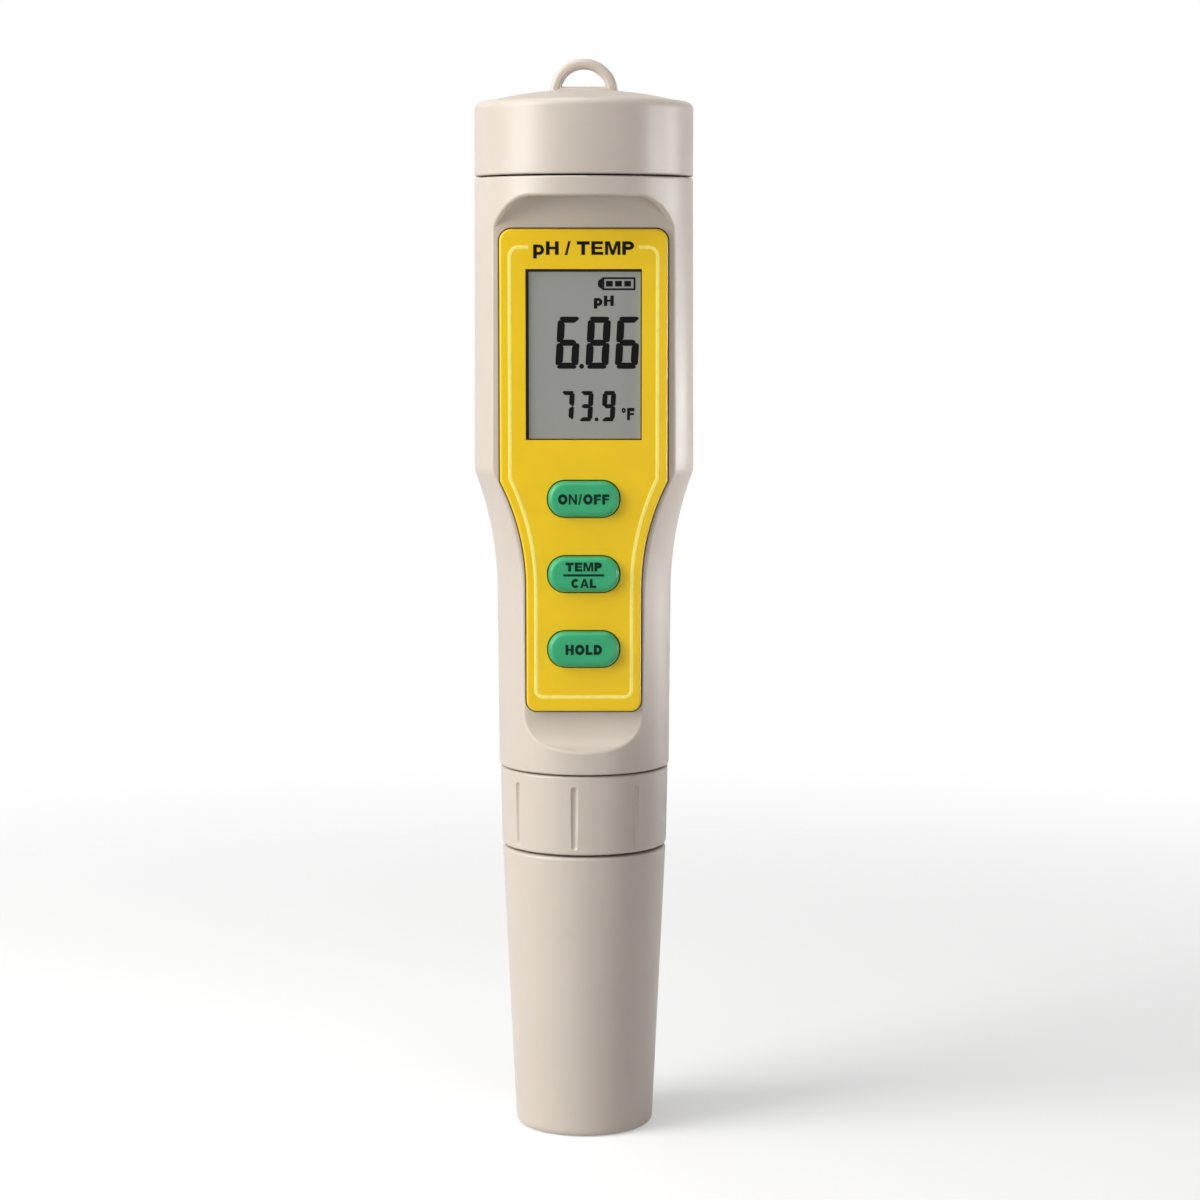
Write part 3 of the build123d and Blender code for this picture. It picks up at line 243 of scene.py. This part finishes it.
def relief(name, outlines, front_y, height, material, body, slot_name):
    """Flat raised shapes: (x, z) outlines that share corners join into one, height proud."""
    build = bmesh.new()
    for outline in outlines:
        build.faces.new([build.verts.new(Vector((x, front_y, z)) * MM) for x, z in outline])
    bmesh.ops.remove_doubles(build, verts=build.verts, dist=WELD_MM * MM)
    grown = bmesh.ops.extrude_face_region(build, geom=build.faces[:])
    fronts = [item for item in grown["geom"] if isinstance(item, bmesh.types.BMVert)]
    bmesh.ops.translate(build, verts=fronts, vec=(0, -height * MM, 0))
    bmesh.ops.recalc_face_normals(build, faces=build.faces)
    mesh = bpy.data.meshes.new(name)
    build.to_mesh(mesh)
    build.free()
    return place(name, mesh, material, body, slot_name)


def ribbon(path, half_width, front_y, height, closed=False):
    """A crowned stripe along a path of (x, z) points, standing height in front of front_y."""
    verts, faces = [], []
    count = len(path)
    for i, (x, z) in enumerate(path):
        before = Vector(path[i - 1] if i or closed else path[0])
        after = Vector(path[(i + 1) % count] if i + 1 < count or closed else path[i])
        along = (after - before).normalized()
        for across, up in CROWN:
            verts.append((x - along.y * across * half_width, front_y - up * height,
                          z + along.x * across * half_width))
    ring = len(CROWN)
    for i in range(count if closed else count - 1):
        start, end = i * ring, (i + 1) % count * ring
        for j in range(ring):
            k = (j + 1) % ring
            faces.append((start + j, start + k, end + k, end + j))
    if not closed:
        faces.append(tuple(range(ring)))
        faces.append(tuple(range(len(verts) - 1, len(verts) - ring - 1, -1)))
    return verts, faces


def arc(cx, cz, radius, start_deg, end_deg, steps=10):
    """Points on an arc in the front plane."""
    return [
        (cx + radius * math.cos(math.radians(start_deg + (end_deg - start_deg) * i / steps)),
         cz + radius * math.sin(math.radians(start_deg + (end_deg - start_deg) * i / steps)))
        for i in range(steps + 1)
    ]


# ---------------------------------------------------------------- lettering

BOLD_STROKE = 0.245
HEAVY_STROKE = 0.3
LETTER_GAP = 0.13


def box_outline(x0, x1, z0, z1):
    """Rectangle outline."""
    return [(x0, z0), (x1, z0), (x1, z1), (x0, z1)]


def bars(*rects):
    """Rectangles (x0, x1, z0, z1) cut along each other's edges, so that they join cleanly."""
    xs = sorted({x for rect in rects for x in rect[:2]})
    zs = sorted({z for rect in rects for z in rect[2:]})
    return [
        box_outline(x0, x1, z0, z1)
        for x0, x1 in zip(xs, xs[1:]) for z0, z1 in zip(zs, zs[1:])
        if any(r[0] <= x0 and x1 <= r[1] and r[2] <= z0 and z1 <= r[3] for r in rects)
    ]


def bend(cx, cz, rx, rz, start_deg, end_deg, stroke, steps=16):
    """Curved stroke: the outside is an ellipse of radii rx and rz."""
    outer, inner = [], []
    for i in range(steps + 1):
        turn = math.radians(start_deg + (end_deg - start_deg) * i / steps)
        outer.append((cx + rx * math.cos(turn), cz + rz * math.sin(turn)))
        inner.append((cx + (rx - stroke) * math.cos(turn), cz + (rz - stroke) * math.sin(turn)))
    return [[inner[i], outer[i], outer[i + 1], inner[i + 1]] for i in range(steps)]


def mirrored(outline, width):
    """The outline flipped across the middle of a letter of that width."""
    return [(width - x, z) for x, z in reversed(outline)]


def letter_shapes(t):
    """Each letter's outlines and width, for a capital height of 1 and a stroke of t."""
    a_leg = [(0, 0), (0.35, 1), (0.48, 1), (0.48, 0.76), (0.364, 0.4), (0.306, 0.22), (0.235, 0)]
    return {
        "T": (bars((0, 0.86, 1 - t, 1), (0.43 - t / 2, 0.43 + t / 2, 0, 1 - t)), 0.86),
        "E": (bars((0, t, 0, 1), (t, 0.8, 0, t * 0.9), (t, 0.74, 0.42, 0.6),
                   (t, 0.78, 1 - t * 0.9, 1)), 0.8),
        "F": (bars((0, t, 0, 1), (t, 0.7, 0.41, 0.59), (t, 0.74, 1 - t * 0.9, 1)), 0.74),
        "L": (bars((0, t, 0, 1), (t, 0.72, 0, t * 0.9)), 0.72),
        "H": (bars((0, t, 0, 1), (0.86 - t, 0.86, 0, 1), (t, 0.86 - t, 0.41, 0.6)), 0.86),
        "M": ([[(0, 0), (0, 1), (0.31, 1), (0.52, 0.33), (0.73, 1), (1.04, 1), (1.04, 0),
                (0.84, 0), (0.84, 0.74), (0.62, 0), (0.42, 0), (0.2, 0.74), (0.2, 0)]], 1.04),
        "N": ([[(0, 0), (0, 1), (0.22, 1), (0.66, 0.33), (0.66, 1), (0.86, 1), (0.86, 0),
                (0.64, 0), (0.2, 0.67), (0.2, 0)]], 0.86),
        "A": ([a_leg, mirrored(a_leg, 0.96),
               [(0.306, 0.22), (0.364, 0.4), (0.596, 0.4), (0.654, 0.22)]], 0.96),
        "P": (bars((0, t, 0, 1), (t, 0.46, 0.36, 0.36 + t), (t, 0.46, 1 - t, 1))
              + bend(0.46, 0.68, 0.34, 0.32, -90, 90, t), 0.8),
        "D": (bars((0, t, 0, 1), (t, 0.38, 0, t), (t, 0.38, 1 - t, 1))
              + bend(0.38, 0.5, 0.48, 0.5, -90, 90, t), 0.86),
        "O": (bend(0.49, 0.5, 0.49, 0.52, 0, 360, t, 32), 0.98),
        "C": (bend(0.47, 0.5, 0.47, 0.52, 42, 318, t, 26), 0.88),
        "p": (bars((0, t, -0.27, 0.76), (t, 0.4, 0, t * 0.9), (t, 0.4, 0.76 - t * 0.9, 0.76))
              + bend(0.4, 0.38, 0.34, 0.38, -90, 90, t * 0.9), 0.74),
        "/": ([[(0, -0.02), (0.24, 1.02), (0.4, 1.02), (0.16, -0.02)]], 0.4),
        "o": (bend(0.21, 0.8, 0.21, 0.21, 0, 360, t * 0.5, 20), 0.42),
        " ": ([], 0.16),
    }


BOLD = letter_shapes(BOLD_STROKE)
HEAVY = letter_shapes(HEAVY_STROKE)


def word(text, x, z, cap_height, width, letters):
    """Outlines of a word centred on (x, z), with that capital height and full width."""
    outlines, at = [], 0.0
    for char in text:
        shapes, advance = letters[char]
        outlines += [[(px + at, pz) for px, pz in shape] for shape in shapes]
        at += advance + LETTER_GAP
    scale = width / (at - LETTER_GAP)
    return [[(x - width / 2 + px * scale, z + (pz - 0.5) * cap_height) for px, pz in shape]
            for shape in outlines]


# ---------------------------------------------------------------- faceplate print

plate_low, plate_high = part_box("faceplate")
PLATE_FRONT = plate_low.y / MM
POCKET_FLOOR = plate_high.y / MM
PLATE_TOP = plate_high.z / MM
PLATE_BOTTOM = plate_low.z / MM
PLATE_HEAD_W = plate_high.x / MM
PLATE_GRIP_W = 9.9
# Ink starts INK_SINK behind the surface it lies on, and is INK_H thick.
INK_SINK = 0.01
INK_H = 0.04

WAIST_BOTTOM = 97.0
WAIST_TOP = 115.5
WAIST_STEPS = 24
HEAD_HEIGHTS = (148.0, 140.0, 132.0, 124.0, 118.0)
GRIP_HEIGHTS = (92.0, 87.0, 82.0)

BORDER_INSET = 1.75
BORDER_GRIP_W = PLATE_GRIP_W - BORDER_INSET + 0.1
BORDER_TOP = PLATE_TOP - 3.1
BORDER_BOTTOM = PLATE_BOTTOM + 2.5
BORDER_TOP_R = 1.6
BORDER_BOTTOM_R = 1.2
BORDER_GAP_X = 9.4
BORDER_WAIST_BOTTOM = WAIST_BOTTOM - 0.2
BORDER_WAIST_TOP = WAIST_TOP + 0.5
BORDER_HALF_W = 0.32
BORDER_H = 0.05
BORDER_SINK = 0.002

# The dark strip of painted shade round the faceplate.
SEAM_OUT = 0.06
SEAM_TOP_R = 2.16
SEAM_BOTTOM_R = 1.86
SEAM_HALF_W = 0.2
SEAM_H = 0.3
SEAM_SINK = 0.01

TITLE_DROP = 3.25
TITLE_CAP_H = 2.3
TITLE_W = 17.2


def plate_half(head_x, grip_x, top, bottom, top_r, bottom_r, start_x,
               waist_bottom=WAIST_BOTTOM, waist_top=WAIST_TOP):
    """Right half of a line that follows the plate's outline, from its top to its foot."""
    rise, run = waist_top - waist_bottom, head_x - grip_x
    waist_r = (run * run + rise * rise) / (2 * run)
    sweep = math.degrees(math.asin(rise / waist_r))
    path = [(start_x, top)]
    path += arc(head_x - top_r, top - top_r, top_r, 90, 0)
    path += [(head_x, z) for z in HEAD_HEIGHTS]
    path += arc(grip_x + waist_r, waist_bottom, waist_r, 180 - sweep, 180, WAIST_STEPS)
    path += [(grip_x, z) for z in GRIP_HEIGHTS]
    path += arc(grip_x - bottom_r, bottom + bottom_r, bottom_r, 0, -90)
    path.append((0.0, bottom))
    return path


border_half = plate_half(PLATE_HEAD_W - BORDER_INSET, BORDER_GRIP_W, BORDER_TOP, BORDER_BOTTOM,
                         BORDER_TOP_R, BORDER_BOTTOM_R, BORDER_GAP_X, BORDER_WAIST_BOTTOM,
                         BORDER_WAIST_TOP)
border_path = border_half + [(-x, z) for x, z in reversed(border_half[:-1])]
border_verts, border_faces = ribbon(border_path, BORDER_HALF_W, PLATE_FRONT + BORDER_SINK,
                                    BORDER_H)
smooth_piece("faceplate_border", border_verts, border_faces, border_pale, "housing",
             "faceplate_yellow")

# Painted shade: a dark strip all round under the faceplate's edge, standing in for the shadow in
# the gap between the plate and the pocket floor.
seam_half = plate_half(PLATE_HEAD_W + SEAM_OUT, PLATE_GRIP_W + SEAM_OUT, PLATE_TOP + SEAM_OUT,
                       PLATE_BOTTOM - SEAM_OUT, SEAM_TOP_R, SEAM_BOTTOM_R, 0.0)
seam_path = seam_half + [(-x, z) for x, z in reversed(seam_half[1:-1])]
seam_verts, seam_faces = ribbon(seam_path, SEAM_HALF_W, POCKET_FLOOR + SEAM_SINK, SEAM_H,
                                closed=True)
smooth_piece("faceplate_seam_shade", seam_verts, seam_faces, painted_seam_shade, "housing", "frame_black")

title = word("pH / TEMP", 0.0, PLATE_TOP - TITLE_DROP, TITLE_CAP_H, TITLE_W, BOLD)
relief("title_print", title, PLATE_FRONT + INK_SINK, INK_H, print_black, "housing", "frame_black")


# ---------------------------------------------------------------- display

window_low, window_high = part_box("lcd_window")
WINDOW_FRONT = window_low.y / MM
LCD_CENTRE_Z = (window_low.z + window_high.z) / 2 / MM
LCD_HALF_W = 9.9
LCD_HALF_H = 14.55
FACE_T = 0.9
SEGMENT_T = 0.03
# Widths of the painted shade frame round the display, at each side.
SHADE_LEFT, SHADE_RIGHT, SHADE_TOP, SHADE_BOTTOM = 0.5, 0.12, 0.42, 0.16

# The display's own face: a matt grey polariser under the window's gloss.
face_low, face_high = LCD_CENTRE_Z - LCD_HALF_H, LCD_CENTRE_Z + LCD_HALF_H
face_outline = box_outline(-LCD_HALF_W, LCD_HALF_W, face_low, face_high)
display_face = relief("display_face", [face_outline], WINDOW_FRONT + FACE_T, FACE_T, lcd_face,
                      "housing", "lcd_grey")
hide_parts("lcd_window")

# Painted shade: a dark frame round the viewing area, wider on the left and above, standing in for
# the shadow that the window's edge in the faceplate throws onto the sunken display.
view_left, view_right = SHADE_LEFT - LCD_HALF_W, LCD_HALF_W - SHADE_RIGHT
view_low, view_high = face_low + SHADE_BOTTOM, face_high - SHADE_TOP
recess_shade = bars((-LCD_HALF_W, view_left, face_low, face_high),
            (view_right, LCD_HALF_W, face_low, face_high),
            (view_left, view_right, face_low, view_low),
            (view_left, view_right, view_high, face_high))
relief("display_recess_shade", recess_shade, WINDOW_FRONT + INK_SINK, SEGMENT_T, painted_recess_shade, "housing",
       "frame_black")

SEGMENTS = {"3": "abgcd", "6": "afgedc", "7": "abc", "8": "abcdefg", "9": "abcdfg"}
SLANT = math.tan(math.radians(3.2))
# Outlines of the three kinds of segment. Each point has the end it is measured from, then its
# offsets along and across the segment, as shares of the segments' half widths.
MIDDLE_BAR = ((0, -0.35, -0.3), (0, -0.35, 0.3), (0, 0.25, 0.9), (0, 0.7, 1.0), (1, -0.7, 1.0),
              (1, -0.25, 0.9), (1, 0.35, 0.3), (1, 0.35, -0.3), (1, -0.25, -0.9),
              (1, -0.7, -1.0), (0, 0.7, -1.0), (0, 0.25, -0.9))
END_BAR = ((0, -0.8, 0.25), (0, -0.7, 0.7), (0, -0.35, 0.95), (0, 0.0, 1.0), (1, 0.0, 1.0),
           (1, 0.35, 0.95), (1, 0.7, 0.7), (1, 0.8, 0.25), (1, -0.15, -0.8), (1, -0.5, -1.0),
           (0, 0.5, -1.0), (0, 0.15, -0.8))
POST = ((0, -0.75, 0.3), (0, -0.6, 0.75), (0, 0.0, 1.0), (1, 0.0, 1.0), (1, 0.6, 0.75),
        (1, 0.75, 0.3), (1, -0.15, -0.75), (1, -0.7, -1.0), (0, 0.7, -1.0), (0, 0.15, -0.75))


def digit(char, left, bottom, width, height, upright, level, gap):
    """Outlines of the segments that are on in one slanted seven-segment digit.

    upright and level are half the widths of its standing and lying segments, and gap is the
    clearance at their ends.
    """
    mid = height / 2
    x0, x1 = upright, width - upright
    z0, z1 = level, height - level

    # out is 1 where a segment's outer side is the upper or right one, and -1 where it is not.
    def lying(outline, z, out):
        ends = (x0 + gap, x1 - gap)
        return [(ends[end] + along * upright, z + out * across * level)
                for end, along, across in outline]

    def standing(x, low, high, out):
        ends = (low + gap + level / 2, high - gap - level / 2)
        return [(x + out * across * upright, ends[end] + along * level)
                for end, along, across in POST]

    shapes = {
        "a": lying(END_BAR, z1, 1), "d": lying(END_BAR, z0, -1), "g": lying(MIDDLE_BAR, mid, 1),
        "f": standing(x0, mid, z1, -1), "e": standing(x0, z0, mid, -1),
        "b": standing(x1, mid, z1, 1), "c": standing(x1, z0, mid, 1),
    }
    return [
        [(left + x + z * SLANT, bottom + z) for x, z in shapes[name]] for name in SEGMENTS[char]
    ]


DOT_SIDES = 20
# The readings and marks are placed down from LCD_TOP, and sideways from the display's middle.
LCD_TOP = LCD_CENTRE_Z + 14.6
BIG_DIGIT = {"width": 3.95, "height": 8.9, "upright": 0.63, "level": 0.53, "gap": 0.18}
BIG_Z = LCD_TOP - 17.0
SMALL_DIGIT = {"width": 2.3, "height": 5.2, "upright": 0.43, "level": 0.36, "gap": 0.11}
SMALL_Z = LCD_TOP - 26.0


def dot(x, z, radius):
    """Outline of a decimal point."""
    return arc(x, z, radius, 0, 360 * (DOT_SIDES - 1) / DOT_SIDES, DOT_SIDES - 1)


# Each digit by its left edge, then each row's decimal point by its middle and radius.
outlines = []
for char, left in (("6", -4.9), ("8", 0.26), ("6", 5.3)):
    outlines += digit(char, left, BIG_Z, **BIG_DIGIT)
for char, left in (("7", -4.1), ("3", -0.85), ("9", 3.0)):
    outlines += digit(char, left, SMALL_Z, **SMALL_DIGIT)
outlines.append(dot(-0.35, BIG_Z + 0.42, 0.42))
outlines.append(dot(2.2, SMALL_Z + 0.33, 0.34))

# Battery mark: a shell with a terminal on its left and three bars inside.
MARK_LEFT, MARK_RIGHT = 2.45, 8.85
MARK_LOW, MARK_HIGH = LCD_TOP - 3.6, LCD_TOP - 1.4
MARK_LINE = 0.32
TERMINAL_W = 0.75
TERMINAL_HALF_H = 0.45
TERMINAL_GAP = 0.02
TERMINAL_SLOPE = 0.1
CHARGE_BARS = 3
CHARGE_INSET = 0.62
CHARGE_W = 1.15
CHARGE_PITCH = 1.56
shell_left = MARK_LEFT + TERMINAL_W
outlines += bars((shell_left, MARK_RIGHT, MARK_LOW, MARK_LOW + MARK_LINE),
                 (shell_left, MARK_RIGHT, MARK_HIGH - MARK_LINE, MARK_HIGH),
                 (MARK_RIGHT - MARK_LINE, MARK_RIGHT, MARK_LOW, MARK_HIGH),
                 (shell_left, shell_left + MARK_LINE, MARK_LOW, MARK_HIGH))
mark_mid = (MARK_LOW + MARK_HIGH) / 2
terminal_right = shell_left - TERMINAL_GAP
outlines.append([(MARK_LEFT, mark_mid - TERMINAL_HALF_H),
                 (terminal_right, MARK_LOW + TERMINAL_SLOPE),
                 (terminal_right, MARK_HIGH - TERMINAL_SLOPE),
                 (MARK_LEFT, mark_mid + TERMINAL_HALF_H)])
for index in range(CHARGE_BARS):
    bar_left = shell_left + CHARGE_INSET + index * CHARGE_PITCH
    outlines.append(box_outline(bar_left, bar_left + CHARGE_W, MARK_LOW + CHARGE_INSET,
                                MARK_HIGH - CHARGE_INSET))

# The unit marks, each by its middle, capital height and width.
outlines += word("pH", 3.45, LCD_TOP - 5.4, 1.75, 3.4, HEAVY)
outlines += word("oF", 7.6, SMALL_Z + 1.25, 2.1, 2.2, HEAVY)
relief("display_segments", outlines, WINDOW_FRONT + INK_SINK, SEGMENT_T, lcd_segment, "housing",
       "frame_black")


# ---------------------------------------------------------------- key legends

RULE_HALF_W = 3.5
RULE_LOW, RULE_HIGH = -0.28, 0.1
# Each legend's piece and key, then its words with their height above the key's middle,
# capital height and width.
LEGENDS = (
    ("power_print", "key_power", (("ON/OFF", 0.0, 1.75, 8.8),)),
    ("hold_print", "key_hold", (("HOLD", 0.0, 1.75, 6.3),)),
    ("cal_print", "key_cal", (("TEMP", 1.35, 1.55, 6.25), ("CAL", -1.5, 1.55, 4.3))),
)
for name, key, lines in LEGENDS:
    key_low, key_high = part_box(key)
    key_z = (key_low.z + key_high.z) / 2 / MM
    legend = []
    for text, rise, cap_height, width in lines:
        legend += word(text, 0.0, key_z + rise, cap_height, width, HEAVY)
    # A rule parts two lines.
    if len(lines) > 1:
        legend.append(box_outline(-RULE_HALF_W, RULE_HALF_W, key_z + RULE_LOW,
                                  key_z + RULE_HIGH))
    relief(name, legend, key_low.y / MM + INK_SINK, INK_H, print_green, key, "frame_black")


# ---------------------------------------------------------------- floor, light and camera

WHITE = (1.0, 1.0, 1.0, 1.0)
FLOOR_ALBEDO = (0.62, 0.62, 0.62, 1.0)
FLOOR_ROUGHNESS = 0.9
FLOOR_SPECULAR = 0.1
FLOOR_SOLID = 0.1
FLOOR_EDGE = 0.42
FLOOR_GLOW = 0.42
FLOOR_BOUNCE = 0.05
AMBIENT = 0.06
SHEEN = 0.8
# The lights aim at the meter's middle.
MIDDLE = (0.0, 0.0, 0.1)
CARD_DISTANCE = 0.5
CARD_SIZE = 0.2

floor_material, floor_nodes, floor_links, floor_shader = new_material("floor_white")
floor_shader.inputs["Base Color"].default_value = FLOOR_ALBEDO
floor_shader.inputs["Roughness"].default_value = FLOOR_ROUGHNESS
floor_shader.inputs["Specular IOR Level"].default_value = FLOOR_SPECULAR
floor_shader.inputs["Emission Color"].default_value = WHITE
# The floor looks brighter, and reflects brighter, than the light it throws onto the meter.
floor_ray = floor_nodes.new("ShaderNodeLightPath")
floor_glow = floor_nodes.new("ShaderNodeMapRange")
floor_glow.inputs["To Min"].default_value = FLOOR_GLOW
floor_glow.inputs["To Max"].default_value = FLOOR_BOUNCE
floor_links.new(floor_ray.outputs["Is Diffuse Ray"], floor_glow.inputs["Value"])
floor_links.new(floor_glow.outputs["Result"], floor_shader.inputs["Emission Strength"])
# The floor thins out to the white surroundings, so no horizon line shows.
floor_coords = floor_nodes.new("ShaderNodeTexCoord")
floor_reach = floor_nodes.new("ShaderNodeVectorMath")
floor_reach.operation = "LENGTH"
floor_links.new(floor_coords.outputs["Object"], floor_reach.inputs[0])
floor_fade = floor_nodes.new("ShaderNodeMapRange")
floor_fade.interpolation_type = "SMOOTHSTEP"
floor_fade.inputs["From Min"].default_value = FLOOR_SOLID
floor_fade.inputs["From Max"].default_value = FLOOR_EDGE
floor_fade.inputs["To Min"].default_value = 1.0
floor_fade.inputs["To Max"].default_value = 0.0
floor_links.new(floor_reach.outputs["Value"], floor_fade.inputs["Value"])
floor_links.new(floor_fade.outputs["Result"], floor_shader.inputs["Alpha"])
floor_mesh = bpy.data.meshes.new("floor")
floor_mesh.from_pydata([(-FLOOR_EDGE, -FLOOR_EDGE, 0), (FLOOR_EDGE, -FLOOR_EDGE, 0),
                        (FLOOR_EDGE, FLOOR_EDGE, 0), (-FLOOR_EDGE, FLOOR_EDGE, 0)],
                       [], [(0, 1, 2, 3)])
floor_mesh.materials.append(floor_material)
floor = bpy.data.objects.new("floor", floor_mesh)
bpy.context.scene.collection.objects.link(floor)

# White surroundings. Glossy surfaces mirror a brighter room than the one that lights them.
world = bpy.data.worlds.new("studio")
bpy.context.scene.world = world
world.use_nodes = True
sky = world.node_tree.nodes
sky_links = world.node_tree.links
room = sky["Background"]
room.inputs["Color"].default_value = WHITE
backdrop = sky.new("ShaderNodeBackground")
backdrop.inputs["Color"].default_value = WHITE
backdrop.inputs["Strength"].default_value = 1.0
ray = sky.new("ShaderNodeLightPath")
room_glow = sky.new("ShaderNodeMapRange")
room_glow.inputs["To Min"].default_value = AMBIENT
room_glow.inputs["To Max"].default_value = SHEEN
choose = sky.new("ShaderNodeMixShader")
sky_links.new(ray.outputs["Is Glossy Ray"], room_glow.inputs["Value"])
sky_links.new(room_glow.outputs["Result"], room.inputs["Strength"])
sky_links.new(ray.outputs["Is Camera Ray"], choose.inputs["Fac"])
sky_links.new(room.outputs["Background"], choose.inputs[1])
sky_links.new(backdrop.outputs["Background"], choose.inputs[2])
sky_links.new(choose.outputs["Shader"], sky["World Output"].inputs["Surface"])


def area_light(name, place, target, size_x, size_y, power, tint=(1.0, 1.0, 1.0)):
    """Soft box at place, facing target, in metres and watts."""
    light = bpy.data.lights.new(name, "AREA")
    light.shape = "RECTANGLE"
    light.size = size_x
    light.size_y = size_y
    light.energy = power
    light.color = tint
    thing = bpy.data.objects.new(name, light)
    bpy.context.scene.collection.objects.link(thing)
    thing.location = place
    aim = Vector(target) - Vector(place)
    thing.rotation_euler = aim.to_track_quat("-Z", "Y").to_euler()
    return light


area_light("key_left", (-0.42, -0.2, 0.3), MIDDLE, 0.3, 0.45, 3.1, (1.0, 0.99, 0.975))
area_light("top_soft", (-0.15, -0.1, 0.9), MIDDLE, 0.6, 0.6, 3.6)
area_light("front_fill", (0.4, -0.75, 0.03), MIDDLE, 0.4, 0.4, 1.3)
# Narrow cards on the right, each given by its bearing, height, spread and power.
for name, bearing, height, spread_deg, power in (("card_front", 80.0, 0.18, 8.0, 0.035),
                                                 ("card_back", 105.0, 0.18, 8.0, 0.028),
                                                 ("card_low", 125.0, 0.04, 12.0, 0.02)):
    turn = math.radians(bearing)
    card_place = (CARD_DISTANCE * math.sin(turn), -CARD_DISTANCE * math.cos(turn), height)
    card = area_light(name, card_place, (0.0, 0.0, height), CARD_SIZE, CARD_SIZE, power)
    card.spread = math.radians(spread_deg)

bpy.context.scene.view_settings.view_transform = "Standard"

CAMERA_PLACE = (0.0028, -0.5413, 0.1513)
CAMERA_PITCH = 6.07
CAMERA_LENS = 92.55
CAMERA_SENSOR = 36.0
CAMERA_CLIP = (0.01, 20.0)
camera_data = bpy.data.cameras.new("camera")
camera_data.sensor_width = CAMERA_SENSOR
camera_data.lens = CAMERA_LENS
camera_data.clip_start, camera_data.clip_end = CAMERA_CLIP
camera = bpy.data.objects.new("camera", camera_data)
bpy.context.scene.collection.objects.link(camera)
camera.location = CAMERA_PLACE
camera.rotation_euler = (math.radians(90.0 - CAMERA_PITCH), 0.0, 0.0)
bpy.context.scene.camera = camera
